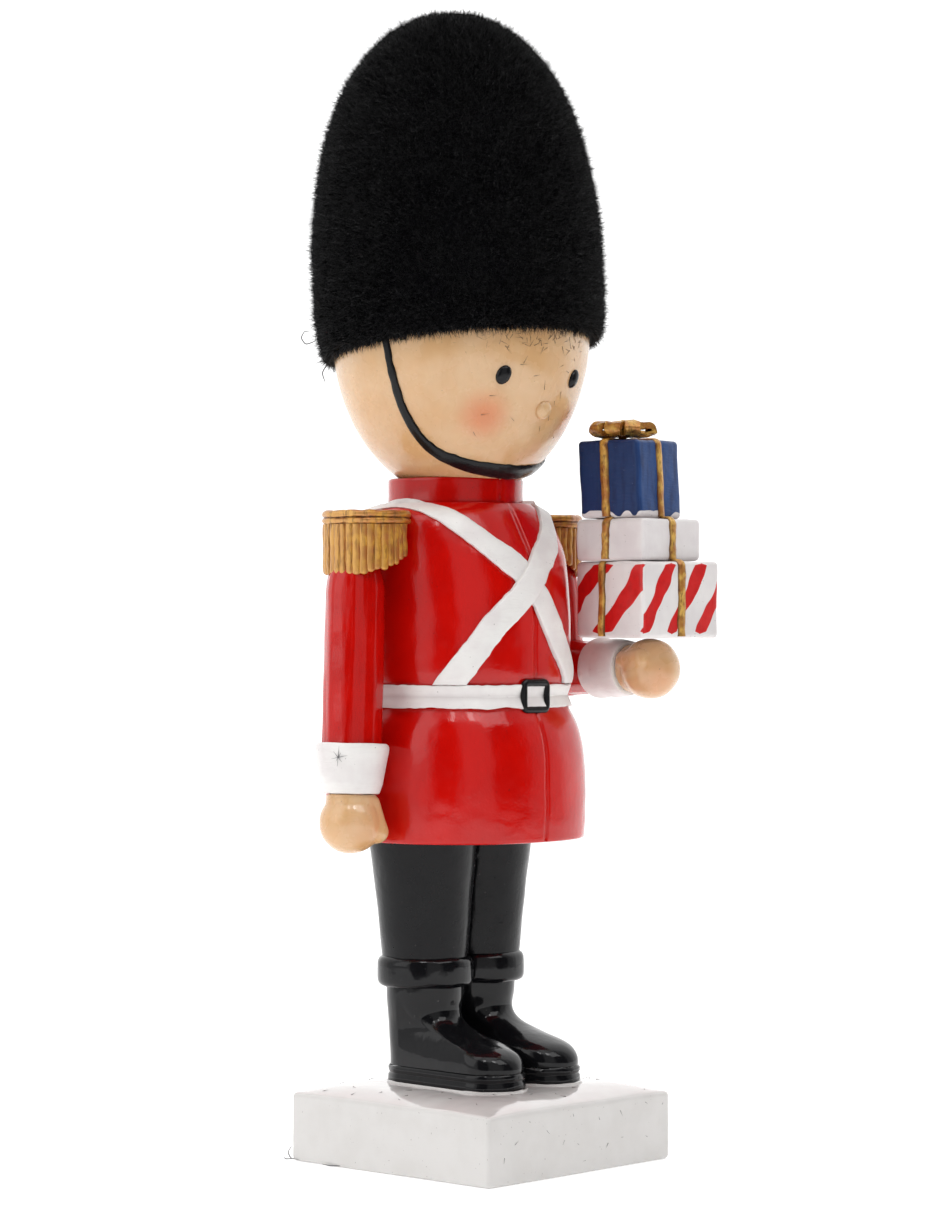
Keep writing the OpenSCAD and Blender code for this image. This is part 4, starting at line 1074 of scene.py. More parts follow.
@dataclass
class Base:
    """The square block: its top is crowned, and paint stands in a bead along the soles."""

    side: float = PLAN.base_side
    edge_r: float = 0.9
    steps: int = 44

    def crown(self, p: Array) -> Array:
        """Height of the top above its edges, at each point."""
        g = 1 - np.abs(2 * p[:, :2] / self.side) ** 6
        return PLAN.base_crown * np.maximum(g[:, 0] * g[:, 1], 0.0)

    def bead(self, boot: Boot) -> Shape:
        """The wavy bead of paint that runs round one sole.

        Args:
            boot: The boot whose sole it follows.

        Returns:
            The closed bead.
        """
        foot = boot.outline(0.0, boot.toe_y, boot.foot_r + 0.12, boot.heel_r + 0.12, steps=160)
        foot = Shape(foot, []).moved(boot.frame()).points
        foot[:, 2] = PLAN.base_h + self.crown(foot)
        out = unit(foot - foot.mean(axis=0)) * (1, 1, 0)
        size = 0.3 + 0.22 * ripple(foot, 3.1, 5.0 + boot.side)
        rings = [[p + r * (cos(a) * o + sin(a) * np.array([0, 0, 1.15]))
                  for a in turns(8)] for p, o, r in zip(foot, out, size)]
        return Shape.loft(rings, loop=True)

    def build(self) -> list[Object]:
        """Builds the block."""
        block = soft_box(self.side, self.side, PLAN.base_h, self.edge_r, self.steps)
        top = ease(block.points[:, 2], PLAN.base_h - 1.2, PLAN.base_h)
        block.points[:, 2] += self.crown(block.points) * top
        block = block.wobbled(0.13, 16.0, 3.1).wobbled(0.03, 3.5, 8.4)
        whole = block.joined(*(self.bead(Boot(side)) for side in Side))
        whole.points[:, :2] = np.clip(whole.points[:, :2], -self.side / 2, self.side / 2)
        whole.points[:, 2] = np.maximum(whole.points[:, 2], 0.0)
        return [dress(whole.mesh("base"), "base", Paints.base, ("base_block",))]


def soft_box(w: float, d: float, h: float, r: float, steps: int) -> Shape:
    """A block with rounded edges that stands on its middle, with a fine grid of faces.

    Args:
        w: Width along X.
        d: Depth along Y.
        h: Height.
        r: Radius of the edges.
        steps: Faces along a side.

    Returns:
        The block.
    """
    def stations(size: float, n: int) -> Array:
        """Places across one side: close together at its rounded ends."""
        t = np.linspace(0, pi / 2, 5)[:-1]
        bend = np.degrees(t) / 90 * r
        return np.concatenate([-size / 2 + bend, np.linspace(-size / 2 + r, size / 2 - r, n),
                               size / 2 - bend[::-1]])
    size = np.array([w, d, h])
    points, faces = [], []
    for axis in range(3):
        u, v = [k for k in range(3) if k != axis]
        us, vs = (stations(size[k], max(6, int(steps * size[k] / size.max()))) for k in (u, v))
        for end in (-1, 1):
            start = sum(len(p) for p in points)
            grid = np.zeros((len(us), len(vs), 3))
            grid[..., u], grid[..., v] = us[:, None], vs[None, :]
            grid[..., axis] = end * size[axis] / 2
            points.append(grid.reshape(-1, 3))
            n = len(vs)
            faces += [(start + i * n + j, start + (i + 1) * n + j, start + (i + 1) * n + j + 1,
                       start + i * n + j + 1) for i in range(len(us) - 1) for j in range(n - 1)]
    p = np.vstack(points)
    core = np.clip(p, -(size / 2 - r), size / 2 - r)
    out = p - core
    p = core + r * out / np.maximum(np.linalg.norm(out, axis=1, keepdims=True), 1e-9)
    return Shape(p + np.array([0, 0, h / 2]), faces)


@dataclass
class Boot:
    """A boot with its sole and turned cuff, and the trouser leg that stands in it."""

    side: Side
    length: float = 32.8
    width: float = 14.8
    toe_h: float = 6.4
    sole_edge: float = 0.45
    shaft_r: float = 7.8
    cuff_r: float = 9.7
    leg_low_r: float = 8.35
    leg_top_r: float = 11.1
    leg_top_x: float = 8.1
    split: float = 0.2
    toe_shares: Table = ((0, 0.97, 1), (0.15, 1, 1.01), (0.4, 0.99, 0.985), (0.62, 0.93, 0.93),
                         (0.8, 0.83, 0.82), (0.92, 0.74, 0.68), (1, 0.68, 0.55))
    instep_shares: Table = ((0, 0.55), (0.18, 0.36), (0.45, 0.17), (0.75, 0.05), (1, 0))

    @property
    def foot_r(self) -> float:
        """Half the sole's width."""
        return self.width / 2

    @property
    def heel_r(self) -> float:
        """Radius of the heel."""
        return 0.94 * self.foot_r

    @property
    def heel_y(self) -> float:
        """Middle of the heel, behind the shaft's axis."""
        return 0.236 * self.length - self.heel_r

    @property
    def toe_y(self) -> float:
        """Middle of the toe, ahead of the shaft's axis."""
        return self.heel_y + self.heel_r - self.length + self.foot_r

    def frame(self, z: float = 0.0) -> Matrix:
        """Places the boot's own axis in the figure."""
        return (shift(self.side * PLAN.leg_x, PLAN.leg_y, z) @ spin(self.side * PLAN.boot_splay))

    def outline(self, z: float, front_y: float, front_r: float, back_r: float,
                back_y: float | None = None, steps: int = 72) -> Array:
        """A ring round the foot at one height.

        Args:
            z: Height of the ring.
            front_y: Middle of its front half circle.
            front_r: Radius of its front.
            back_r: Radius of its back.
            back_y: Middle of its back half circle, the heel's if None.
            steps: Points of the ring.

        Returns:
            The ring's points.
        """
        a = turns(steps)
        fore = np.sin(a) < -1e-9
        r = np.where(fore, front_r, back_r)
        y = np.where(fore, front_y, self.heel_y if back_y is None else back_y)
        return level_ring(r * np.cos(a), y + r * np.sin(a), z)

    def clipped(self, shape: Shape) -> Shape:
        """Keeps a shape on its own side of the split between the legs."""
        x = shape.points[:, 0] * self.side
        shape.points[:, 0] = np.maximum(x, self.split / 2) * self.side
        return shape

    def sole(self) -> Shape:
        """The sole: a ridge, a groove and a second ridge under the upper."""
        low, high = PLAN.base_top_z + GLUE, PLAN.sole_z
        h = high - low
        rings = [self.outline(low + s * h, self.toe_y, self.foot_r - g, self.heel_r - g)
                 for s, g in ((0, 0.35), (0.06, 0.1), (0.2, 0.0), (0.42, 0.04), (0.52, 0.26),
                              (0.6, 0.26), (0.7, 0.03), (0.9, 0.05), (1, 0.3), (1, 0.9))]
        shape = Shape.loft(rings).moved(self.frame())
        return shape.wobbled(0.16, 3.4, 2.0 + self.side)

    def upper(self) -> Shape:
        """The upper: toe cap, instep and shaft in one skin."""
        foot = self.foot_r - self.sole_edge
        reach = self.toe_y - foot
        top_share = self.toe_shares[-1][1]
        seat = PLAN.boot_top_z - PLAN.boot_cuff_h / 2 - GLUE
        rings = []
        for s in np.concatenate([[0, 0.02], np.linspace(0.06, 0.96, 16)]):
            half = foot * smooth_at(self.toe_shares, s, 1)
            front = reach * smooth_at(self.toe_shares, s, 2) + half
            rings.append((s * self.toe_h, front, half))
        for s in np.linspace(0.0, 1, 14):
            half = foot * (top_share + (1 - top_share) * s)
            front = reach * smooth_at(self.instep_shares, s) + half - 0.98 * self.shaft_r * s
            rings.append((self.toe_h * (1 + s), front, half))
        height = seat - PLAN.sole_z
        for s in np.linspace(0.08, 1, 14):
            rings.append((2 * self.toe_h + s * (height - 2 * self.toe_h), rings[-1][1], foot))
        made = []
        for h, front, half in rings:
            k = float(ease(h, 1.0, 2.2 * self.toe_h))
            up = float(ease(h, 1.2 * self.toe_h, 2.3 * self.toe_h))
            front_r = half + (self.shaft_r - half) * up
            tip = front - half
            tip += (-self.shaft_r - tip) * up * float(ease(h, 1.5 * self.toe_h, 2.4 * self.toe_h))
            back_r = (self.heel_r - self.sole_edge) * (1 - k) + self.shaft_r * k
            made.append(self.outline(PLAN.sole_z + GLUE + h, tip + front_r, front_r, back_r,
                                     self.heel_y * (1 - k)))
        grid = np.array(made)
        for _ in range(14):
            grid[2:-1] = (grid[1:-2] + 2 * grid[2:-1] + grid[3:]) / 4
        shape = self.clipped(Shape.loft(grid).moved(self.frame()))
        return shape.wobbled(0.14, 5.0, 11.0 + self.side)

    def cuff(self) -> Shape:
        """The turned cuff round the boot's top: a soft roll."""
        h, r, bore = PLAN.boot_cuff_h, self.cuff_r, self.leg_low_r - 0.15
        profile = [(bore, 0.1), (bore + 0.5, 0.0), (r - 0.75, 0.12), (r - 0.3, 0.5),
                   (r - 0.06, 1.1), (r, 1.8), (r, h / 2), (r - 0.03, h - 1.9), (r - 0.1, h - 1.1),
                   (r - 0.38, h - 0.45), (r - 0.85, h - 0.1), (bore + 0.5, h), (bore, h - 0.1),
                   (bore, 0.1)]
        roll = Shape.lathe(profile, 112).moved(self.frame(PLAN.boot_top_z - PLAN.boot_cuff_h))
        return self.clipped(roll).wobbled(0.15, 4.5, 17.0 + self.side)

    def leg(self) -> Shape:
        """The trouser leg: a cone that flares a little more at its top."""
        low, high = PLAN.boot_top_z - PLAN.boot_cuff_h / 2, PLAN.hem_z + 1.2
        a = turns(96)
        rings = []
        for s in np.linspace(0, 1, 30):
            bulge = s + 0.12 * s * s * (s - 1) - 0.05 * sin(pi * s)
            r = self.leg_low_r + (self.leg_top_r - self.leg_low_r) * bulge
            x = PLAN.leg_x + (self.leg_top_x - PLAN.leg_x) * s
            rings.append(level_ring(self.side * x + r * np.cos(a),
                                    PLAN.leg_y + r * np.sin(a), low + s * (high - low)))
        return self.clipped(Shape.loft(rings)).wobbled(0.13, 6.0, 23.0 + self.side)

    def build(self) -> list[Object]:
        """Builds the four pieces of one side."""
        return [cast(shape, kind, paint, self.side.tag) for kind, shape, paint in (
            ("boot_sole", self.sole(), Paints.black), ("boot", self.upper(), Paints.black),
            ("boot_cuff", self.cuff(), Paints.black), ("trouser_leg", self.leg(), Paints.trousers))]


@dataclass
class TunicForm:
    """The body's sections, from the hem to the neck, as rounded squares."""

    skirt_half_w: float = 24.2
    skirt_half_d: float = 24.8
    waist_half_w: float = 20.3
    chest_half_w: float = 21.5
    chest_half_d: float = 21.7
    power: float = 2.45
    belt_h: float = 4.6
    skirt_shares: Table = ((0, 0.93), (0.15, 0.98), (0.38, 1), (0.62, 0.9), (0.8, 0.62),
                           (0.93, 0.2), (1, 0))
    torso_shares: Table = ((0, 0.945, 0.935), (0.1, 0.995, 0.99), (0.25, 1, 1), (0.45, 1, 1),
                           (0.71, 1, 0.935), (0.857, 0.97, 0.806), (0.95, 0.875, 0.715), (1, 0.66, 0.655))
    levels: Array = field(init=False)
    halves: Array = field(init=False)

    def __post_init__(self) -> None:
        """Works out the half sizes at many levels once."""
        self.levels = np.linspace(PLAN.hem_z, PLAN.neck_z, 700)
        self.halves = np.array([[self._half(z, 1), self._half(z, 2)] for z in self.levels])

    def _half(self, z: float, k: int) -> float:
        """Half width (1) or half depth (2) at one height."""
        if z < PLAN.waist_z:
            full = self.skirt_half_w if k == 1 else self.skirt_half_d
            share = smooth_at(self.skirt_shares, (z - PLAN.hem_z) / PLAN.skirt_len)
            return self.waist_half_w + (full - self.waist_half_w) * share
        full = self.chest_half_w if k == 1 else self.chest_half_d
        near = max(0.0, 1 - (z - PLAN.waist_z) / self.belt_h)
        return (full * smooth_at(self.torso_shares, (z - PLAN.waist_z) / PLAN.torso_len, k)
                + (self.waist_half_w - full * self.torso_shares[0][k]) * near)

    def half(self, z: Array | float) -> tuple[Array, Array]:
        """Half width and half depth at heights."""
        return (np.interp(z, self.levels, self.halves[:, 0]),
                np.interp(z, self.levels, self.halves[:, 1]))

    def ring(self, angles: Array, z: float, grow: float = 0.0) -> Array:
        """Points of one section at angles in radians."""
        a, b = self.half(z)
        c, s = np.cos(angles), np.sin(angles)
        e = 2 / self.power
        return level_ring((a + grow) * np.sign(c) * np.abs(c) ** e,
                          PLAN.body_y + (b + grow) * np.sign(s) * np.abs(s) ** e, z)

    def inside(self, p: Array, grow: Array) -> Array:
        """True for each point within the body, grown by a thickness."""
        a, b = self.half(np.minimum(p[:, 2], PLAN.neck_z))
        return ((p[:, 2] < PLAN.neck_z + grow)
                & ((np.abs(p[:, 0]) / (a + grow)) ** self.power
                   + (np.abs(p[:, 1] - PLAN.body_y) / (b + grow)) ** self.power < 1))

    def skin(self, p: Array, grow: Array | float, level: float) -> Array:
        """Moves points onto the body's surface, away from its core.

        Args:
            p: The points.
            grow: Distance from the surface, for all points or each.
            level: 0 for a core at one height, 1 for a core at each point's own height.

        Returns:
            The points on the surface.
        """
        grow = np.broadcast_to(grow, len(p))
        core = np.full(p.shape, (0, PLAN.body_y, PLAN.core_z))
        core[:, 2] += (p[:, 2] - PLAN.core_z) * level
        d = p - core
        low = np.zeros(len(p))
        high = 2 * PLAN.base_side / np.linalg.norm(d, axis=1)
        for _ in range(18):
            mid = (low + high) / 2
            within = self.inside(core + mid[:, None] * d, grow)
            low, high = np.where(within, mid, low), np.where(within, high, mid)
        return core + low[:, None] * d


FORM = TunicForm()


@dataclass
class Tunic:
    """The red tunic with its seam and standing collar."""

    seam_depth: float = 0.34
    seam_w: float = 0.42
    hem_wall: float = 2.0
    hem_recess: float = 1.4
    collar_t: float = 1.1

    def angles(self) -> Array:
        """Angles round a section, close together at the front's seam."""
        coarse = np.linspace(0, 360, 181)[:-1]
        close = 270 + np.concatenate([np.linspace(-1.6, 1.6, 17), [-3.0, -2.2, 2.2, 3.0]])
        keep = coarse[np.abs(coarse - 270) > 3.4]
        return np.radians(np.sort(np.concatenate([keep, close])))

    def body(self) -> Shape:
        """The tunic from the hem to the neck, its underside hollow."""
        angles = self.angles()
        skirt = np.concatenate([[0.012, 0.03], np.linspace(0.06, 1, 54)[:-1]])
        torso = np.concatenate([np.linspace(0, 0.9, 74), np.linspace(0.91, 1, 16)])
        zs = [PLAN.hem_z + s * PLAN.skirt_len for s in skirt]
        zs += [PLAN.waist_z + s * PLAN.torso_len for s in torso]
        hem = PLAN.hem_z
        rings = [self._level(FORM.ring(angles, hem, -self.hem_wall), hem + self.hem_recess),
                 FORM.ring(angles, hem, -self.hem_wall), FORM.ring(angles, hem, -0.45),
                 self._level(FORM.ring(angles, hem, -0.12), hem + 0.14)]
        for z in zs:
            ring = FORM.ring(angles, z)
            x = ring[:, 0]
            front = ring[:, 1] < PLAN.body_y
            sway = 0.18 * sin(z / 6.3) + 0.1 * sin(z / 2.1)
            depth = self.seam_depth + 0.3 * float(ease(z, PLAN.neck_z - 14, PLAN.neck_z - 7))
            ring[:, 1] += np.where(front, depth * np.exp(-((x - sway) / self.seam_w) ** 2), 0.0)
            rings.append(ring)
        shape = Shape.loft(rings)
        soft = shape.wobbled(0.2, 13.0, 31.0).wobbled(0.05, 3.5, 37.0)
        soft.points[:, 2] = shape.points[:, 2]
        return soft

    @staticmethod
    def _level(ring: Array, z: float) -> Array:
        """A ring at another height."""
        ring = ring.copy()
        ring[:, 2] = z
        return ring

    def collar(self) -> Shape:
        """The standing collar: a thin wall that leans out a little at its top."""
        r, t, h = PLAN.collar_r, self.collar_t, PLAN.collar_h
        profile = [(r - t, 0.0), (r - 0.1, -0.3), (r + 0.02, 0.25), (r - 0.06, h * 0.3),
                   (r - 0.04, h * 0.7), (r, h - 0.55), (r - 0.14, h - 0.22), (r - 0.42, h - 0.1),
                   (r - t + 0.2, h - 0.16), (r - t, h - 0.5), (r - t, 0.0)]
        last = len(profile) - 1
        fine = between(profile, range(last + 1), np.linspace(0, last, 34))
        place = shift(0, PLAN.body_y, PLAN.neck_z + GLUE)
        shape = Shape.lathe(fine, 144).moved(place).wobbled(0.13, 5.0, 41.0)
        x, y, z = shape.points.T
        crease = 0.34 * np.exp(-((x + 1.2 - 0.3 * np.sin(z * 0.9)) / 0.34) ** 2)
        shape.points[:, 1] += np.where(y < 0, crease, 0.0)
        return shape

    def build(self) -> list[Object]:
        """Builds the tunic and the collar."""
        return [cast(self.body(), "tunic", Paints.red, crease=60),
                cast(self.collar(), "collar", Paints.red)]


@dataclass
class Belts:
    """The waist belt with its buckle, and the two crossbelts."""

    belt_t: float = 0.9
    top_w: float = 2.9
    low_w: float = 5.4
    buckle_w: float = 8.2
    buckle_h: float = 6.8
    bar: float = 1.5
    steps: int = 150
    section: Table = ((-0.5, 0.0), (-0.5, 0.5), (-0.485, 0.8), (-0.44, 0.95), (-0.36, 1.0),
                      (-0.2, 1.0), (0.0, 1.0), (0.2, 1.0), (0.36, 1.0), (0.44, 0.95),
                      (0.485, 0.8), (0.5, 0.5), (0.5, 0.0))
    over: Table = ((0, 0.74, 0, 1), (0.09, 0.71, 0.26, 0.99), (0.17, 0.615, 0.475, 0.975),
                   (0.24, 0.505, 0.64, 0.945), (0.33, 0.41, 0.8, 0.836), (0.4, 0.29, 0.88, 0.76),
                   (0.49, 0.1, 0.96, 0.666), (0.64, -0.215, 1, 0.474),
                   (0.74, -0.445, 0.965, 0.354), (0.84, -0.61, 0.89, 0.228), (1, -0.82, 0.68, 0))
    under: Table = ((0, 0.74, 0, 1), (0.085, 0.745, 0.23, 0.98), (0.19, 0.73, 0.52, 0.935),
                    (0.31, 0.57, 0.75, 0.827), (0.42, 0.38, 0.9, 0.72), (0.54, 0.12, 0.98, 0.604),
                    (0.64, -0.05, 1, 0.48), (0.73, -0.18, 1, 0.35), (0.83, -0.345, 0.99, 0.21),
                    (0.92, -0.5, 0.94, 0.1), (1, -0.62, 0.85, 0))

    @property
    def end_z(self) -> float:
        """Height at which the crossbelts meet the waist belt."""
        return PLAN.waist_z + FORM.belt_h / 2 + GLUE

    def middle(self, side: Side, s: float, back: int) -> Array:
        """A point of a crossbelt's middle line, by share of its length."""
        t = self.over if side is Side.LEFT else self.under
        return np.array([side * FORM.chest_half_w * smooth_at(t, s, 1),
                         PLAN.body_y - back * FORM.chest_half_d * smooth_at(t, s, 2),
                         self.end_z + (PLAN.neck_z - self.end_z) * smooth_at(t, s, 3)])

    def crossbelt(self, side: Side) -> Shape:
        """One crossbelt: a flat band over the shoulder, which lies on or under the other one.

        Args:
            side: The shoulder that it goes over; the left one's lies on top.

        Returns:
            The band.
        """
        other = np.array([self.middle(Side(-side), s, b) for b in (-1, 1)
                          for s in np.linspace(0.2, 1, 60)])
        rings = []
        for t in np.linspace(-1, 1, self.steps + 1):
            back, s = (-1 if t < 0 else 1), abs(t)
            mid = self.middle(side, s, back)
            ahead = self.middle(side, min(1, s + 0.01), back)
            behind = self.middle(side, max(0, s - 0.01), -back if s < 0.01 else back)
            level = min(1.0, max(0.0, 3 * s - 1.5))
            core = np.array([0, PLAN.body_y, PLAN.core_z + (mid[2] - PLAN.core_z) * level])
            along = unit(back * (ahead - behind))
            across = unit(np.cross(along, unit(mid - core)))
            line = across
            if s > 0.6:
                line = across - along * across[2] / along[2] * max(0.0, 3 * s - 2) ** 2
            w = self.top_w + (self.low_w - self.top_w) * min(1.0, 2.2 * s)
            near = float(ease(np.linalg.norm(other - mid, axis=1).min(), 1.2 * self.low_w, 2.0))
            lift = (0.36, 0.48) if side is Side.LEFT else (0.0, -0.34)
            low, high = 0.05 + lift[0] * near, self.belt_t + lift[1] * near
            points, heights = [], []
            for u, h in self.section:
                edge = 0.1 * chance(t * 26 + 5 * u, side * 3.1, 2.0)
                edge += 0.045 * chance(t * 90 + 9 * u, side * 7.7, 4.0)
                sway = 0.012 * chance(t * 12, side * 5.0, 9.0)
                points.append(mid + (u * (1 + edge) + sway) * w * line)
                heights.append(low + (high - low) * h)
            rings.append(FORM.skin(np.array(points), np.array(heights), level))
        return Shape.loft(rings).wobbled(0.04, 2.0, 43.0)

    def waist_belt(self) -> Shape:
        """The waist belt, closed round the body."""
        angles = np.linspace(0, tau, 361)[:-1]
        h, rings = FORM.belt_h, []
        for u, share in self.section:
            ring = FORM.ring(angles, PLAN.waist_z + u * h, 0.04 + (self.belt_t - 0.04) * share)
            if abs(u) > 0.4:
                for i, a in enumerate(angles):
                    edge = Vector((5 * cos(a), 5 * sin(a), 4 * u))
                    ring[i, 2] += 0.36 * noise.noise(edge) + 0.16 * noise.noise(edge * 3.3)
            rings.append(ring)
        loop = np.array(rings).transpose(1, 0, 2)
        return Shape.loft(loop, loop=True).wobbled(0.05, 3.0, 47.0)

    def buckle(self) -> Shape:
        """The open frame of the buckle, bent to the belt."""
        half_w, half_h = (self.buckle_w - self.bar) / 2, (self.buckle_h - self.bar) / 2
        front, corner = FORM.half(PLAN.waist_z)[1] + self.belt_t, 0.8
        path = [(cx * (half_w - corner) + corner * cos(a), cz * (half_h - corner) + corner * sin(a))
                for cx, cz, start in ((1, 1, 0), (-1, 1, 90), (-1, -1, 180), (1, -1, 270))
                for a in np.radians(np.linspace(start, start + 90, 7))]
        fine = []
        for p, q in zip(path, path[1:] + path[:1]):
            n = 9 if dist(p, q) > 1 else 1
            fine += [(p[0] + (q[0] - p[0]) * k / n, p[1] + (q[1] - p[1]) * k / n) for k in range(n)]
        rings = []
        for i, p in enumerate(fine):
            q, o = fine[(i + 1) % len(fine)], fine[i - 1]
            t = unit(np.array([q[0] - o[0], q[1] - o[1]]))
            out = np.array([t[1], -t[0]])
            w = self.bar / 2 * (1 + 0.1 * chance(i * 0.35, 3.0, 1.0))
            ring = []
            for a in np.radians(np.arange(12) * 30):
                x, z = np.array(p) + out * w * cos(a)
                face = (1 - (abs(x) / FORM.waist_half_w) ** FORM.power) ** (1 / FORM.power)
                y = PLAN.body_y - front * face - 0.5 - 0.62 * sin(a)
                ring.append((x, y, PLAN.waist_z + z))
            rings.append(ring)
        return Shape.loft(rings, loop=True)

    def build(self) -> list[Object]:
        """Builds the belts and the buckle."""
        return [cast(self.waist_belt(), "waist_belt", Paints.white),
                dress(self.buckle().mesh("buckle"), "buckle_piece", Paints.detail,
                      ("belt_buckle",)),
                cast(self.crossbelt(Side.RIGHT), "crossbelt_under", Paints.white),
                cast(self.crossbelt(Side.LEFT), "crossbelt_over", Paints.white)]


@dataclass
class Arm:
    """A sleeve, its white cuff and its hand."""

    side: Side
    sleeve_r: float = 5.8
    bent_r: float = 5.2
    gap: float = 0.8
    lean: float = 3.4
    forward: float = 1.5
    sleeve_len: float = 42.8
    cuff_len: float = 9.8
    flare_r: float = 7.2
    bent_flare_r: float = 6.2
    wrist_r: float = 5.6
    hand_r: float = 6.1
    hand_drop: float = 5.6
    thumb_r: float = 2.3
    elbow_h: float = 5.3
    forearm_len: float = 28.0
    forearm_in: float = 6.0
    fringe_len: float = 10.6
    shoulder_shares: Table = ((0, 0.76), (0.55, 0.76), (1, 0.95), (1.25, 1))

    @property
    def arm_x(self) -> float:
        """Distance of the shoulder's axis from the body's."""
        return FORM.chest_half_w + self.gap + self.sleeve_r

    @property
    def upper_len(self) -> float:
        """Length of the bent arm's upper part."""
        return ((PLAN.shoulder_h - self.elbow_h) / cos(radians(self.lean)) / cos(radians(self.forward)))

    def frame(self) -> Matrix:
        """The shoulder's frame, from which the arm hangs along -Z."""
        return (shift(self.side * self.arm_x, PLAN.body_y, PLAN.shoulder_z - GLUE)
                @ spin(-self.forward, "X") @ spin(-self.side * self.lean, "Y"))

    def forearm_frame(self) -> Matrix:
        """The bent elbow's frame, from which the forearm runs along -Z."""
        return (self.frame() @ shift(0, 0, -self.upper_len) @ spin(self.lean, "Y")
                @ spin(self.forward, "X") @ spin(-self.forearm_in) @ spin(-90, "X"))

    @property
    def cuff_at(self) -> float:
        """Distance of the bent arm's cuff from its elbow."""
        return self.forearm_len - self.hand_drop - self.cuff_len

    def hand_frame(self) -> Matrix:
        """The frame at the top of the cuff."""
        if self.side is Side.RIGHT:
            return self.frame() @ shift(0, 0, -self.sleeve_len)
        return self.forearm_frame() @ shift(0, 0, -self.cuff_at)

    def palm(self) -> Array:
        """Middle of the bent arm's hand."""
        return np.array(self.forearm_frame() @ Vector((0, 0, -self.forearm_len)))

    def radius_at(self, drop: float) -> float:
        """The sleeve's radius by the distance below the shoulder."""
        s = drop / self.fringe_len
        return self.sleeve_r * (smooth_at(self.shoulder_shares, s) if s < 1.25 else 1.0)

    def sleeve(self) -> Shape:
        """The sleeve, with the long soft ribs of its casting."""
        if self.side is Side.RIGHT:
            path = [(0.0, 0.0, -d) for d in np.linspace(0.1, self.sleeve_len + 1.2, 90)]
            radii = [self.radius_at(-p[2]) for p in path]
            frame = self.frame()
        else:
            elbow = np.array(self.forearm_frame().translation)
            top = np.array(self.frame().translation)
            tip = np.array(self.forearm_frame() @ Vector((0, 0, -self.cuff_at - 1.2)))
            bend = 5.0
            down, out = unit(elbow - top), unit(tip - elbow)
            a, b = elbow - bend * down, elbow + bend * out
            path = [top + (a - top) * s for s in np.linspace(0.004, 1, 60)]
            path += [(1 - s) ** 2 * a + 2 * s * (1 - s) * (elbow + 0.6 * (elbow - (a + b) / 2))
                     + s * s * b for s in np.linspace(0, 1, 22)[1:]]
            path += [b + (tip - b) * s for s in np.linspace(0, 1, 16)[1:]]
            run = np.cumsum([0] + [dist(p, q) for p, q in zip(path, path[1:])])
            radii = [self.radius_at(r) if r < 20 else self.sleeve_r + (
                self.bent_r - self.sleeve_r) * max(0.0, (r - 30) / (run[-1] - 30)) for r in run]
            frame = Matrix.Identity(4)
        shape = tube(np.array(path), np.array(radii), 96, self._ribs)
        return shape.moved(frame).wobbled(0.1, 6.0, 53.0 + self.side)

    @staticmethod
    def _ribs(angle: float, run: float) -> float:
        """Height of the soft ribs along a sleeve."""
        here = Vector((3.2 * cos(angle), 3.2 * sin(angle), run * 0.035))
        return 0.17 * noise.noise(here) + 0.07 * noise.noise(here * 2.7)

    def cuff(self) -> Shape:
        """The white cuff: a rounded band that narrows to the wrist."""
        r = self.flare_r if self.side is Side.RIGHT else self.bent_flare_r
        wrist, n = self.wrist_r, self.cuff_len
        bore = (self.sleeve_r if self.side is Side.RIGHT else self.bent_r) - 0.1
        profile = [(0.0, -n), (wrist - 0.5, -n), (wrist - 0.12, -n + 0.12), (wrist + 0.04, -n + 0.5),
                   ((r + 2 * wrist) / 3, -0.8 * n), ((r + wrist) / 2 + 0.05, -0.6 * n),
                   (r - 0.34, -0.36 * n), (r - 0.08, -0.2 * n), (r, -0.12 * n),
                   (r - 0.05, -0.065 * n), (r - 0.25, -0.025 * n), (r - 0.6, 0.0),
                   (bore + 0.3, 0.0), (bore, -0.15), (bore, -1.2), (0.0, -1.3)]
        knots = np.cumsum([0] + [dist(p, q) for p, q in zip(profile, profile[1:])])
        spots = np.unique(np.concatenate([knots, np.linspace(0, knots[-1], 46)]))
        fine = between(profile, knots, spots)
        band = Shape.lathe(fine, 96).moved(self.hand_frame())
        return band.wobbled(0.17, 4.2, 59.0 + self.side)

    def hand(self) -> Shape:
        """The hand: a round mitten whose thumb runs softly into it."""
        top, mid = -self.cuff_len - GLUE, -self.cuff_len - self.hand_drop
        wrist = 0.9 * (self.wrist_r - GLUE)
        start = asin(wrist / self.hand_r)
        profile = [(0.0, mid - self.hand_r)]
        profile += [(self.hand_r * sin(t), mid - self.hand_r * cos(t))
                    for t in np.linspace(0.06, pi - start, 40)]
        profile += [(wrist, top), (0.0, top)]
        turn, out = (43.0, 0.86) if self.side is Side.RIGHT else (-65.0, 0.74)
        root = np.array([0, -0.62 * self.hand_r, mid + 1.1 * self.thumb_r])
        tip = np.array([0, -out * self.hand_r, mid - 0.75 * self.thumb_r])
        path = np.array([root + (tip - root) * s for s in np.linspace(-0.25, 1, 14)])
        thumb = tube(path, np.full(14, self.thumb_r), 40, domed=True).moved(spin(turn))
        rough = Shape.lathe(profile, 64).joined(thumb).mesh("rough hand")
        holder = put("rough hand", rough)
        blend = holder.modifiers.new("blend", "REMESH")
        blend.mode, blend.voxel_size = "VOXEL", 0.2 * MM
        soften = holder.modifiers.new("soften", "SMOOTH")
        soften.factor, soften.iterations = 0.7, 26
        hand = Shape.read(take(holder)).moved(self.hand_frame())
        return hand.wobbled(0.1, 4.0, 61.0 + self.side)

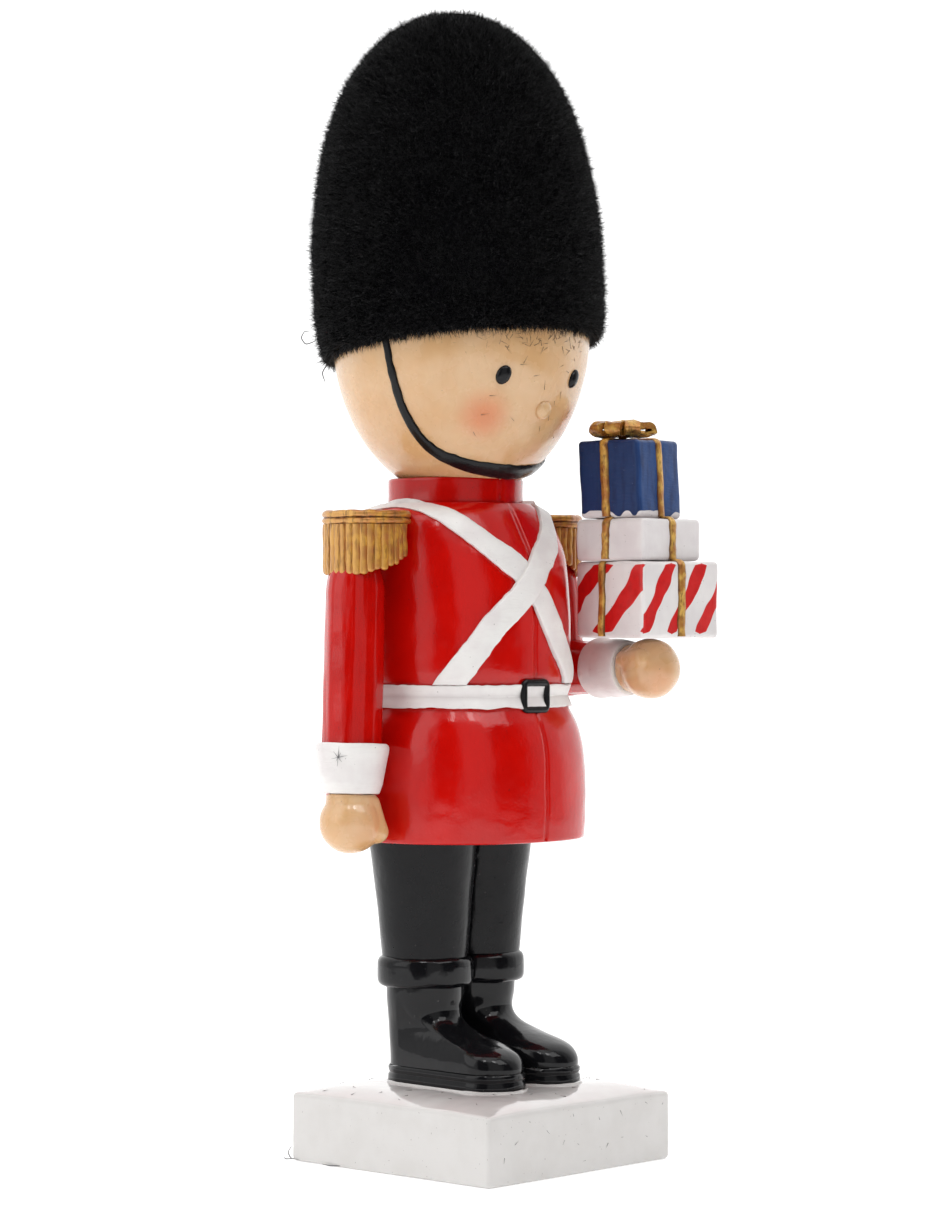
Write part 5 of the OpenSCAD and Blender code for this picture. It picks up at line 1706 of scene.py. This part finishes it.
    def build(self) -> list[Object]:
        """Builds the sleeve, the cuff and the hand."""
        tag = self.side.tag
        return [cast(self.sleeve(), "sleeve", Paints.sleeve_red, tag),
                cast(self.cuff(), "cuff", Paints.white, tag),
                cast(self.hand(), "hand", Paints.hand, tag)]


def tube(path: Array, radii: Array, steps: int, relief: object = None, domed: bool = False) -> Shape:
    """A round bar along a path.

    Args:
        path: Points of its middle line.
        radii: Its radius at each point.
        steps: Points round it.
        relief: Gives a height from the angle and the distance run, if any.
        domed: True to end it in half spheres.

    Returns:
        The bar.
    """
    along = unit(np.gradient(path, axis=0))
    side = unit(np.cross(along[0], np.array([0.3, 1.0, 0.2])))
    rings, run = [], 0.0
    for i, (p, t, r) in enumerate(zip(path, along, radii)):
        side = unit(side - t * (side @ t))
        other = np.cross(t, side)
        run += 0.0 if i == 0 else float(np.linalg.norm(p - path[i - 1]))
        ring = []
        for a in turns(steps):
            grown = r + (relief(a, run) if relief else 0.0)
            ring.append(p + grown * (cos(a) * side + sin(a) * other))
        rings.append(ring)
    if domed:
        for end, t, at in ((0, -along[0], path[0]), (-1, along[-1], path[-1])):
            round_off = [at + (np.array(rings[end]) - at) * cos(b)
                         + t * radii[end] * sin(b) for b in np.radians(range(12, 90, 12))]
            rings = round_off[::-1] + rings if end == 0 else rings + round_off
    return Shape.loft(rings)


@dataclass
class Epaulette:
    """A shoulder piece: a grooved rim and a fringe of thick strands round the arm."""

    side: Side
    strands: Strands
    radius: float = 8.7
    inset: float = 2.6
    rim_h: float = 2.7
    fringe_len: float = 10.6
    count: int = 23
    strand_d: float = 1.3
    spread: float = 110.0
    short_share: float = 0.36

    def place(self) -> Array:
        """Middle of the rim's underside."""
        return np.array([self.side * (Arm(self.side).arm_x - self.inset), PLAN.body_y, PLAN.shoulder_z])

    @property
    def heading(self) -> float:
        """The outside's direction in degrees."""
        return 0 if self.side is Side.LEFT else 180

    def length_at(self, angle: float) -> float:
        """Length of the fringe by the angle from the arm's outside."""
        return self.fringe_len * (1 - self.short_share * (abs(angle) / self.spread) ** 2)

    def rim(self) -> Shape:
        """The rim: two soft rolls with a groove between them, and a low domed top."""
        r, h = self.radius, self.rim_h
        profile = [(0.0, -0.02), (r - 0.7, 0.0), (r - 0.25, 0.12), (r - 0.02, 0.45), (r, 0.8),
                   (r - 0.2, 1.08), (r - 0.42, 1.2), (r - 0.42, 1.3), (r - 0.16, 1.42),
                   (r, 1.75), (r - 0.02, 2.1), (r - 0.2, h - 0.28), (r - 0.55, h - 0.06),
                   (r - 1.1, h), (r - 1.7, h - 0.12), (r - 2.3, h - 0.14), (r - 3.2, h - 0.02),
                   (r * 0.4, h), (0.0, h)]
        shape = Shape.lathe(profile, 120).moved(shift(*self.place()))
        return shape.wobbled(0.17, 2.4, 67.0 + self.side).wobbled(0.06, 0.8, 71.0)

    def skirt(self) -> Shape:
        """The shell behind the strands, which closes the fringe."""
        ring_r = self.radius - self.strand_d * 0.45
        rings = []
        for a in np.linspace(-self.spread, self.spread, 90):
            turn = radians(a + self.heading)
            c, s = cos(turn), sin(turn)
            low = -self.length_at(a) + 0.75
            rings.append([(r * c, r * s, z) for r, z in (
                (ring_r, 0.05), (ring_r, low), (ring_r - 0.25, low - 0.2),
                (ring_r - 1.0, low), (ring_r - 1.0, 0.05))])
        return Shape.loft(rings).moved(shift(*self.place()))

    def strand(self) -> Shape:
        """One strand of unit length that hangs from the origin, its outside towards +X."""
        r = self.strand_d / 2
        levels = np.concatenate([np.linspace(0, 0.93, 12), [0.955, 0.975, 0.99, 1.0]])
        rings = []
        for s in levels:
            end = sqrt(max(0.0, 1 - max(0.0, (s - 0.93) / 0.07) ** 2))
            k = (0.92 + 0.12 * sin(9 * s) * (1 - s)) * max(end, 0.03)
            rings.append([(r * (0.15 + 0.85 * k * cos(a)), r * 1.04 * k * sin(a), -s)
                          for a in np.radians(np.arange(14) * 360 / 14)])
        return Shape.loft(rings)

    def build(self) -> list[Object]:
        """Builds the rim and the fringe."""
        tag, at, rows = self.side.tag, self.place(), []
        for i in range(self.count):
            a = self.spread * (2 * i / (self.count - 1) - 1)
            some = chance(i * 1.7, self.side * 4.0, 0.5)
            other = chance(i * 2.3, self.side * 9.0, 7.5)
            turn = a + self.heading + 1.1 * some
            r = self.radius - self.strand_d / 2 - 0.12 * abs(other)
            rows.append((at[0] + r * cos(radians(turn)),
                         at[1] + r * sin(radians(turn)), at[2] - 0.02, turn,
                         1.22 + 0.34 * some, 0.92 + 0.2 * other, self.length_at(a) - 0.3 + 0.6 * other))
        hung = Shape.read(self.strands.hang(self.strand(), rows, Paints.gold))
        fringe = hung.joined(self.skirt()).wobbled(0.13, 1.9, 73.0 + self.side)
        return [cast(self.rim(), "epaulette_rim", Paints.gold, tag),
                cast(fringe, "epaulette_fringe", Paints.gold, tag, crease=70)]


@dataclass
class Head:
    """The egg-shaped head with its eyes, its nose and the chin strap."""

    fibres: Fibres
    eye_w: float = 3.0
    eye_h: float = 3.95
    eye_lean: float = 26.0
    eye_angle: float = 22.3
    eye_drop: float = 10.3
    nose_r: float = 1.9
    nose_drop: float = 16.8
    nose_turn: float = 4.0
    face_turn: float = 5.0
    rim_tilt: float = 6.4
    strap_t: float = 0.5
    strap_top_w: float = 1.5
    strap_chin_w: float = 4.0
    strap_shares: Table = ((0, 0), (24, 0.018), (46, 0.06), (64, 0.15), (72.5, 0.27),
                           (77.4, 0.46), (79.5, 0.67), (82, 1))
    blushes: Table = ((-30, 18.3, 0.6, 7.0, 0.84), (34, 19.0, 0.6, 6.6, 0.6), (14, 26.0, 1.0, 7.0, 0.22))
    brow: Coat = Coat(Paints.stray, 84, (1.0, 2.3), (88, 90), 0.055)
    cheek: Coat = Coat(Paints.stray, 26, (1.0, 2.3), (88, 90), 0.055)

    def on_head(self, turn: float, drop: float, grow: float = 0.0) -> Array:
        """A point on the head by its angle from the front and its depth below the widest place."""
        r = (PLAN.head_half_w + grow) * sqrt(1 - (drop / PLAN.head_low_h) ** 2)
        t = radians(turn)
        return np.array([r * sin(t), PLAN.head_y - r * cos(t), PLAN.head_z - drop])

    def normal(self, p: Array) -> Array:
        """The head's outward direction at a point."""
        w, h = PLAN.head_half_w ** 2, PLAN.head_low_h ** 2
        return unit(np.array([p[0] / w, (p[1] - PLAN.head_y) / w, (p[2] - PLAN.head_z) / h]))

    def skull(self) -> Shape:
        """The head up to just above the hat's edge."""
        rings = []
        a = turns(160)
        for t in np.radians(np.linspace(1.0, 97, 110)):
            r, z = PLAN.head_half_w * sin(t), -PLAN.head_low_h * cos(t)
            rings.append(level_ring(r * np.cos(a), PLAN.head_y + r * np.sin(a), PLAN.head_z + z))
        shape = Shape.loft(rings)
        slope = tan(radians(self.rim_tilt))
        top = PLAN.hat_edge_z + 1.2 - (shape.points[:, 1] - PLAN.head_y) * slope
        shape.points[:, 2] = np.minimum(shape.points[:, 2], top)
        return shape.wobbled(0.12, 14.0, 79.0)

    def face_frame(self, turn: float, drop: float) -> Matrix:
        """A frame on the face, its Z axis outwards."""
        p = self.on_head(turn - self.face_turn, drop)
        n = self.normal(p)
        x = unit(np.cross(np.array([0, 0, 1.0]), n))
        y = np.cross(n, x)
        return Matrix([*zip(x, y, n, p), (0, 0, 0, 1)])

    def dome(self, w: float, h: float, rise: float, sunk: float = 0.25) -> Shape:
        """A low oval dome that sits a little way into the face."""
        profile = [(0.0, -sunk), (1.0, -sunk)]
        profile += [(cos(t), rise * sin(t)) for t in np.radians(np.linspace(0, 90, 14))]
        shape = Shape.lathe(profile, 48)
        shape.points[:, 0] *= w / 2
        shape.points[:, 1] *= h / 2
        return shape

    def strap_drop(self, a: float) -> float:
        """Depth of the chin strap's middle line by the angle from the front."""
        low, high = PLAN.head_low_h - 4.3, PLAN.head_z - PLAN.hat_edge_z - 2.2
        return low - (low - high) * smooth_at(self.strap_shares, abs(a))

    def strap(self) -> Shape:
        """The chin strap: a thin band, brushed on, that narrows towards the hat."""
        rings = []
        section = ((-0.5, -0.3), (-0.5, 0.35), (-0.44, 0.8), (-0.3, 1.0), (0.0, 1.05),
                   (0.3, 1.0), (0.44, 0.8), (0.5, 0.35), (0.5, -0.3))
        knots = [0, 12, 24, 35, 46, 55, 64, 69, 72.5, 75, 77.4, 78.6, 79.5, 80.4, 81.3, 81.99]
        half = np.interp(np.linspace(0, 15, 76), range(16), knots)
        for k, a in enumerate(np.concatenate([-half[::-1], half[1:]])):
            p = self.on_head(a, self.strap_drop(a))
            q = self.on_head(a + 0.5, self.strap_drop(min(82, a + 0.5)))
            o = self.on_head(a - 0.5, self.strap_drop(max(-82, a - 0.5)))
            n = self.normal(p)
            across = unit(np.cross(unit(q - o), n))
            w = self.strap_chin_w + (self.strap_top_w - self.strap_chin_w) * (a / 82) ** 2
            edge = [0.24 * chance(k * 0.33, s * 5.0, 1.0) for s in (-1, 1)]
            ring = []
            for u, h in section:
                down = (u - 0.5) * w + self.strap_top_w / 2 + (edge[0] if u < 0 else edge[1] / 2)
                off = h * self.strap_t - down * down / (2 * PLAN.head_half_w)
                ring.append(p + down * across + off * n)
            rings.append(ring)
        return Shape.loft(rings)

    def patch(self, low: float, high: float, start: float, sweep: float) -> Shape:
        """A patch just off the head, from a depth to a lesser one and from an angle on."""
        return Shape.sheet([[self.on_head(turn, drop, 0.05)
                             for turn in np.linspace(start, start + sweep, 24)]
                            for drop in np.linspace(low, high, 14)])

    def build(self) -> list[Object]:
        """Builds the head and everything on the face."""
        paint = Skin("skin paint on the head", tuple(
            (*self.on_head(turn - self.face_turn, drop), low, high, share)
            for turn, drop, low, high, share in self.blushes))
        nose = self.dome(2 * self.nose_r, 2 * self.nose_r, 0.62 * self.nose_r)
        at = self.face_frame(self.nose_turn, self.nose_drop)
        pieces = [cast(self.skull(), "head", paint, crease=60),
                  cast(nose.moved(at), "nose", paint)]
        for side in Side:
            eye = self.dome(self.eye_w, self.eye_h, 0.3 * self.eye_w)
            at = self.face_frame(side * self.eye_angle, self.eye_drop) @ spin(-self.eye_lean)
            pieces.append(cast(eye.moved(at), "eye", Paints.detail, side.tag))
        return pieces + [
            cast(self.strap(), "chin_strap", Paints.detail),
            self.fibres.grow(self.patch(5.0, 1.2, -58, 82), "stray_fibres_brow", self.brow, 5),
            self.fibres.grow(self.patch(22.0, 6.0, -44, 70), "stray_fibres_face", self.cheek, 6)]


@dataclass
class Hat:
    """The tall fur hat: a dark ground, dense short fibres and a few longer ones."""

    fibres: Fibres
    radius: float = 29.6
    height: float = 67.8
    tilt: float = 3.2
    rim_tilt: float = 6.4
    fur_t: float = 1.5
    sectors: int = 6
    flock: Coat = Coat(Paints.flock, 30000, (0.8, 2.0), (6, 58), 0.12)
    wild: Coat = Coat(Paints.wild, 3400, (1.9, 3.3), (6, 52), 0.085)
    hem: Coat = Coat(Paints.flock, 5000, (0.8, 2.8), (5, 65), 0.11)
    shares: Table = ((0, 0.965), (0.07, 0.995), (0.2, 1.0), (0.3, 1.0), (0.42, 0.975),
                     (0.54, 0.935), (0.65, 0.875), (0.74, 0.8), (0.82, 0.705), (0.89, 0.585),
                     (0.94, 0.46), (0.975, 0.31), (1, 0))

    def frame(self) -> Matrix:
        """The hat's own frame, its origin on the head's axis at the edge."""
        return shift(0, PLAN.head_y, PLAN.hat_edge_z) @ spin(-self.tilt, "X")

    def radius_at(self, z: float, grow: float) -> float:
        """Radius at a height above the edge."""
        s = min(1.0, max(0.0, z / (self.height + grow)))
        if s > 0.975:
            return (self.radius * 0.31 + grow * 0.5) * sqrt(max(0.0, (1 - s) / 0.025))
        return self.radius * smooth_at(self.shares, s) + grow

    def skin(self, grow: float, angles: Array) -> Array:
        """Rings of the hat's outside from its slanting edge to the top, at angles in radians.

        Args:
            grow: Distance from the fibres' tips, negative inwards.
            angles: Angles round the hat's axis.

        Returns:
            The rings.
        """
        slope = tan(radians(self.rim_tilt - self.tilt))
        foot = self.radius * self.shares[0][1] + grow
        low = GLUE - foot * np.sin(angles) * slope
        rings = []
        for s in np.concatenate([np.linspace(0, 0.9, 60), np.linspace(0.9, 1, 26)[1:]]):
            z = low + (self.height + grow - low) * s
            r = np.array([self.radius_at(h, grow) for h in z])
            rings.append(level_ring(r * np.cos(angles), r * np.sin(angles), z))
        return np.array(rings)

    def ground(self) -> Shape:
        """The hat's dark ground under the fibres, closed below."""
        rings = self.skin(-self.fur_t, turns(144))
        x, y, z = rings[0].T
        inner = [level_ring(x * k, y * k, z * k + 0.25) for k in (0.02, 0.93, 0.985)]
        shape = Shape.loft(np.concatenate([inner, rings]), caps=False)
        return shape.moved(self.frame()).wobbled(0.25, 4.0, 83.0)

    def sector(self, k: int) -> Shape:
        """One slice of the ground's outside, on which fibres grow."""
        rings = self.skin(-self.fur_t - 0.1, np.linspace(k, k + 1, 25) * tau / self.sectors)
        return Shape.sheet(rings).moved(self.frame()).wobbled(0.25, 4.0, 83.0)

    def edge(self) -> Shape:
        """The narrow underside of the hat's edge, on which fibres hang."""
        x, y, z = self.skin(-self.fur_t, np.arange(97) * tau / 96)[0].T
        rings = [level_ring(x * k, y * k, z + 0.2) for k in (0.955, 1.0)]
        return Shape.sheet(rings).moved(self.frame())

    def build(self) -> list[Object]:
        """Builds the ground and its fibres."""
        pieces = [dress(self.ground().mesh("hat ground", crease=60), "hat_ground", Paints.pelt,
                        ("hat_core", "hat_fur"))]
        for k in range(self.sectors):
            for name, coat, seed in (("flock", self.flock, 100), ("wild", self.wild, 200)):
                pieces.append(self.fibres.grow(self.sector(k), f"hat_{name}_{k + 1}", coat, seed + k))
        return pieces + [self.fibres.grow(self.edge(), "hat_flock_edge", self.hem, 120)]


@dataclass
class Parcel:
    """One box of the stack with the ribbon round it."""

    tag: str
    width: float
    height: float
    lift: float
    turn: float
    shift: float
    ribbon_back: float
    finish: object
    lean: float = 0.0
    lean_way: Row = (-0.68, 0.73)
    hand_offset: Row = (-1.8, -0.7, 6.1)
    edge_r: float = 0.9
    ribbon_w: float = 2.0
    ribbon_t: float = 0.5
    side_stripes: Row = (0.95, 13.9, 14.0)
    front_stripes: Row = (1.68, 1.2, 8.0)
    band_section: Table = ((-0.5, -0.35), (-0.5, 0.25), (-0.43, 0.55), (-0.28, 0.85), (0.0, 0.97),
                           (0.28, 0.85), (0.43, 0.55), (0.5, 0.25), (0.5, -0.35))

    def frame(self, palm: Array) -> Matrix:
        """Places the box on the hand."""
        back, (x, y, z) = self.shift / sqrt(2), palm + self.hand_offset
        return shift(x - back, y + back, z + GLUE + self.lift) @ spin(self.turn)

    def leaned(self, shape: Shape) -> Shape:
        """Leans a shape a little as hand-stacked boxes do, its foot in place."""
        up = shape.points[:, 2:] / self.height
        shape.points[:, :2] += np.array(self.lean_way) * self.lean * up
        return shape

    def box(self) -> Shape:
        """The box with soft edges and slightly hollow sides."""
        shape = soft_box(self.width, self.width, self.height, self.edge_r, 30)
        seed = 89.0 + self.lift
        return self.leaned(shape.wobbled(0.2, 7.0, seed).wobbled(0.05, 2.0, seed + 3))

    def ribbon(self) -> Shape:
        """Two painted bands round the box, crossed on its top, with uneven edges."""
        bands = []
        w, h, t = self.width / 2, self.height, self.ribbon_t
        r = self.edge_r + t * 0.6
        path = [(-w, z) for z in np.linspace(0.35, h - r, 22)]
        path += [(-w + r - r * cos(a), h - r + r * sin(a)) for a in np.radians(np.linspace(9, 81, 6))]
        path += [(x, h) for x in np.linspace(-w + r, 0, 16)]
        path += [(-x, z) for x, z in path[-2::-1]]
        for turn, aside, seed in ((0, self.ribbon_back, self.lift), (90, 0.0, self.lift + 13)):
            rings = []
            for i, (x, z) in enumerate(path):
                o, q = path[max(0, i - 1)], path[min(len(path) - 1, i + 1)]
                d = unit(np.array([q[0] - o[0], q[1] - o[1]]))
                sway = 0.3 * chance(i * 0.13, seed, 0.0)
                wide = self.ribbon_w * (1 + 0.16 * chance(i * 0.3, seed, 3.0))
                rings.append([(x - d[1] * v * t, u * wide + sway, z + d[0] * v * t)
                              for u, v in self.band_section])
            band = Shape.loft(rings).moved(spin(turn))
            band.points[:, 1 if turn == 0 else 0] += aside
            bands.append(band)
        return self.leaned(bands[0].joined(bands[1]))

    def build(self, palm: Array) -> list[Object]:
        """Builds the box and its ribbon.

        Args:
            palm: Middle of the hand that carries the stack.

        Returns:
            The two pieces.
        """
        at = self.frame(palm)
        mesh = self.box().moved(at).mesh("parcel")
        self._wrap(mesh, at)
        band = self.ribbon().moved(at).wobbled(0.05, 1.6, 97.0)
        ring = [2 * abs(u) for u, _ in self.band_section]
        rim = np.tile(ring, len(band.points) // len(ring) + 1)[:len(band.points) // 2 - 2]
        rim = np.tile(np.append(rim, [0.0, 0.0]), 2)
        return [dress(mesh, f"parcel_piece_{self.tag}", self.finish, (f"parcel_{self.tag}",)),
                dress(band.mesh("ribbon", rim=rim), f"ribbon_piece_{self.tag}", Paints.ribbon,
                      (f"ribbon_{self.tag}",))]

    def _wrap(self, mesh: Mesh, at: Matrix) -> None:
        """Gives the box a UV map whose U counts slanting stripes round its sides; V is the height.

        Args:
            mesh: The box's mesh.
            at: The box's frame in millimetres.
        """
        back, w, rows = at.inverted(), self.width / 2, []
        for face in mesh.polygons:
            n = back.to_3x3() @ face.normal
            for loop in face.loop_indices:
                p = back @ (mesh.vertices[mesh.loops[loop].vertex_index].co / MM)
                if abs(n.z) > 0.8:
                    rows.append((0.5, p.z))
                    continue
                if abs(n.x) > abs(n.y):
                    run = -p.y - w if n.x < 0 else w + p.y
                    slope, start, pitch = self.side_stripes
                else:
                    run = p.x + w if n.y < 0 else w - p.x
                    slope, start, pitch = self.front_stripes
                rows.append(((run - p.z / slope + start) / pitch, p.z))
        mesh.uv_layers.new(name="wrap").uv.foreach_set("vector", np.array(rows).ravel())


@dataclass
class Bow:
    """The bow on the top parcel: puffed loops round a knot, and two short tails."""

    length: float = 6.5
    height: float = 4.0
    width: float = 3.0
    thick: float = 1.15
    turns: Row = (18.0, 54.0, 158.0, 196.0, -24.0, 100.0, 232.0)

    def loop(self, turn: float, seed: float) -> Shape:
        """One loop of ribbon, ridged along its length.

        Args:
            turn: Heading of the loop in degrees.
            seed: Picks its own unevenness.

        Returns:
            The loop about the bow's middle.
        """
        rings, n = [], 44
        length = self.length * (1 + 0.1 * chance(seed, 1.0, 0.0))
        for i in range(n):
            a = tau * i / n
            centre = np.array([length * (1 - cos(a)) / 2, 0.0, self.height / 2 + (
                self.height / 2 - self.thick) * (sin(a) - 0.35 * sin(2 * a))])
            ahead = np.array([sin(a) * length, 0.0, self.height * (cos(a) - 0.7 * cos(2 * a))])
            out = unit(np.array([ahead[2], 0.0, -ahead[0]]))
            wide = self.width * (0.55 + 0.5 * (1 - cos(a)) / 2)
            ring = []
            for u in np.linspace(-0.5, 0.5, 13):
                ridge = 0.34 * abs(sin(u * pi * 4))
                ring.append(centre + np.array([0, u * wide, 0]) + out * (self.thick + ridge) / 2)
            for u in np.linspace(0.5, -0.5, 5):
                ring.append(centre + np.array([0, u * wide, 0]) - out * self.thick / 2)
            rings.append(ring)
        return Shape.loft(rings, loop=True).wobbled(0.34, 1.5, seed).moved(spin(turn))

    def knot(self) -> Shape:
        """The knot: a small squashed ball with pinched folds."""
        profile = [(1.75 * sin(t), 2.0 - 1.85 * cos(t)) for t in np.linspace(0, pi, 26)]
        shape = Shape.lathe(profile, 48)
        a = np.arctan2(shape.points[:, 1], shape.points[:, 0])
        shape.points[:, :2] *= (1 + 0.07 * np.cos(5 * a))[:, None]
        return shape.wobbled(0.35, 1.2, 103.0)

    def tail(self, turn: float, seed: float) -> Shape:
        """One short tail that lies on the parcel and lifts at its end."""
        rings = []
        for s in np.linspace(0, 1, 24):
            x, z = 0.8 + 5.4 * s, 0.35 + 0.5 * sin(3.0 * s) + 0.35 * s * s
            ring = [(x + (0.5 * abs(u) if s == 1 else 0), u * 1.9, z + 0.22 * (
                1 + 0.4 * abs(sin(u * 15)))) for u in np.linspace(-0.5, 0.5, 9)]
            ring += [(x, u * 1.9, z) for u in np.linspace(0.5, -0.5, 5)]
            rings.append(ring)
        return Shape.loft(rings).wobbled(0.16, 1.5, seed).moved(spin(turn))

    def build(self, at: Matrix) -> list[Object]:
        """Builds the loops with the tails, and the knot.

        Args:
            at: Frame of the bow's middle on the top parcel.

        Returns:
            The two pieces.
        """
        loops = [self.loop(turn, 109.0 + 5 * k) for k, turn in enumerate(self.turns)]
        tails = [self.tail(-62.0, 131.0), self.tail(238.0, 137.0)]
        whole = loops[0].joined(*loops[1:], *tails).moved(at)
        return [cast(whole, "bow_loops", Paints.ribbon, crease=55),
                cast(self.knot().moved(at), "bow_knot", Paints.ribbon)]


@dataclass
class Stack:
    """The three parcels on the left hand, with the bow on top."""

    low_h: float = 15.3
    mid_h: float = 8.4
    top_h: float = 15.6

    def build(self) -> list[Object]:
        """Builds the stack."""
        palm = Arm(Side.LEFT).palm()
        mid = self.low_h + GLUE
        top = mid + self.mid_h + GLUE
        parcels = (Parcel("striped", 20.4, self.low_h, 0.0, -8.0, 0.0, 2.1, Paints.striped),
                   Parcel("white", 17.9, self.mid_h, mid, 0.0, 1.8, 0.9, Paints.parcel),
                   Parcel("blue", 14.7, self.top_h, top, 5.2, 3.2, 0.8, Paints.blue, lean=0.7))
        pieces = [piece for parcel in parcels for piece in parcel.build(palm)]
        blue = parcels[2]
        x, y = np.array(blue.lean_way) * blue.lean
        at = shift(x - 0.4, y + 0.8, self.top_h + 0.35)
        return pieces + Bow().build(blue.frame(palm) @ at)


@dataclass
class Litter:
    """Loose flock fibres that fell on the base and the figure, and lint that clings to it."""

    fibres: Fibres
    fallen: Coat = Coat(Paints.stray, 70, (0.7, 1.7), (86, 90), 0.07)
    stuck: Coat = Coat(Paints.fibre, 34, (0.6, 1.5), (87, 90), 0.06)
    view: float = 47.1
    curls: tuple[Table, ...] = (
        ((-31.0, 5.0, 166.0), (-33.6, 5.0, 163.9), (-35.3, 4.5, 163.3), (-36.2, 4.0, 164.6),
         (-35.5, 4.0, 166.0), (-34.2, 4.5, 165.8)),
        ((-30.5, 5.0, 160.0), (-32.0, 4.0, 157.6), (-31.2, 3.0, 155.4)),
        ((-37.6, -1.0, 3.2), (-38.6, -1.0, 1.6), (-37.9, -2.0, 0.5), (-36.2, -3.0, 0.4)),
        ((-37.2, -1.0, 0.4), (-38.9, -1.4, 0.3), (-39.4, -2.5, 0.9)),
        ((-31.5, -8.0, 0.3), (-29.6, -9.5, 0.2), (-27.4, -10.8, 0.4)),
        ((-25.0, -13.0, 0.2), (-22.6, -15.2, 0.3), (-20.8, -15.6, 0.9)))

    @staticmethod
    def hair(points: Array, radius: float) -> Shape:
        """A thin fibre along a smooth line through points, tapered at both ends."""
        spots = np.linspace(0, len(points) - 1, 6 * len(points))
        path = between(points, range(len(points)), spots)
        for _ in range(4):
            path[1:-1] = (path[:-2] + 2 * path[1:-1] + path[2:]) / 4
        taper = np.sin(np.linspace(0.25, pi - 0.25, len(path)))
        return tube(path, radius * taper, 5)

    def lint(self) -> Shape:
        """The curled fibres beside the hat and at the base's foot."""
        a = radians(self.view)
        turn = np.array([[cos(a), -sin(a), 0], [sin(a), cos(a), 0], [0, 0, 1]])
        hairs = [self.hair(np.array(curl) @ turn, 0.12) for curl in self.curls]
        return hairs[0].joined(*hairs[1:])

    def star(self) -> Shape:
        """A small star of fibres stuck to the right-hand cuff."""
        hairs = []
        for angle, size in ((12, 1.9), (60, 1.1), (86, 2.2), (132, 1.5)):
            t = radians(angle)
            line = np.array([(s * size * cos(t), -7.2, s * size * sin(t) - 2.9) for s in (-0.8, 0.1, 1)])
            line[:, 1] += line[:, 0] ** 2 / 14
            hairs.append(self.hair(line, 0.05))
        return hairs[0].joined(*hairs[1:]).moved(Arm(Side.RIGHT).hand_frame() @ spin(-67))

    @staticmethod
    def sides() -> Shape:
        """Two faces of the block, front and right of the viewer, on which fibres stick."""
        half, top = PLAN.base_side / 2, PLAN.base_h - 1.5
        points, faces = [], []
        for start, end in (((-half, -half), (half, -half)), ((half, -half), (half, half))):
            for k in range(13):
                s = 0.04 + 0.92 * k / 12
                x, y = (start[j] + (end[j] - start[j]) * s for j in (0, 1))
                points += [(x, y, 1.5), (x, y, top)]
                if k:
                    n = len(points)
                    faces.append((n - 4, n - 2, n - 1, n - 3))
        return Shape(np.array(points), faces)

    def build(self) -> list[Object]:
        """Builds the fibres on the block, the lint and the star on the cuff."""
        half = PLAN.base_side / 2 - 1.5
        spots = np.linspace(-half, half, 20)
        top = Shape.sheet([[(x, y, PLAN.base_h + 0.08) for x in spots] for y in spots])
        top.points[:, 2] += Base().crown(top.points)
        return [self.fibres.grow(top, "stray_fibres_base", self.fallen, 9),
                dress(self.lint().mesh("lint"), "lint", Paints.lint),
                dress(self.star().mesh("star"), "stray_fibres_cuff", Paints.fibre),
                self.fibres.grow(self.sides(), "stray_fibres_sides", self.stuck, 11)]


def main() -> None:
    """Builds the studio and every sub-assembly, in order from the floor up."""
    logging.basicConfig(level=logging.INFO, format="%(name)s: %(message)s")
    Photographer().build()
    fibres, strands = Fibres(), Strands()
    assemblies: list[object] = [Base(), *(Boot(side) for side in Side), Tunic(), Belts(),
                                *(Arm(side) for side in Side),
                                *(Epaulette(side, strands) for side in Side), Head(fibres),
                                Hat(fibres), Stack(), Litter(fibres)]
    for assembly in assemblies:
        pieces = assembly.build()
        log.info("%s: %d pieces", type(assembly).__name__, len(pieces))


if __name__ == "__main__":
    main()
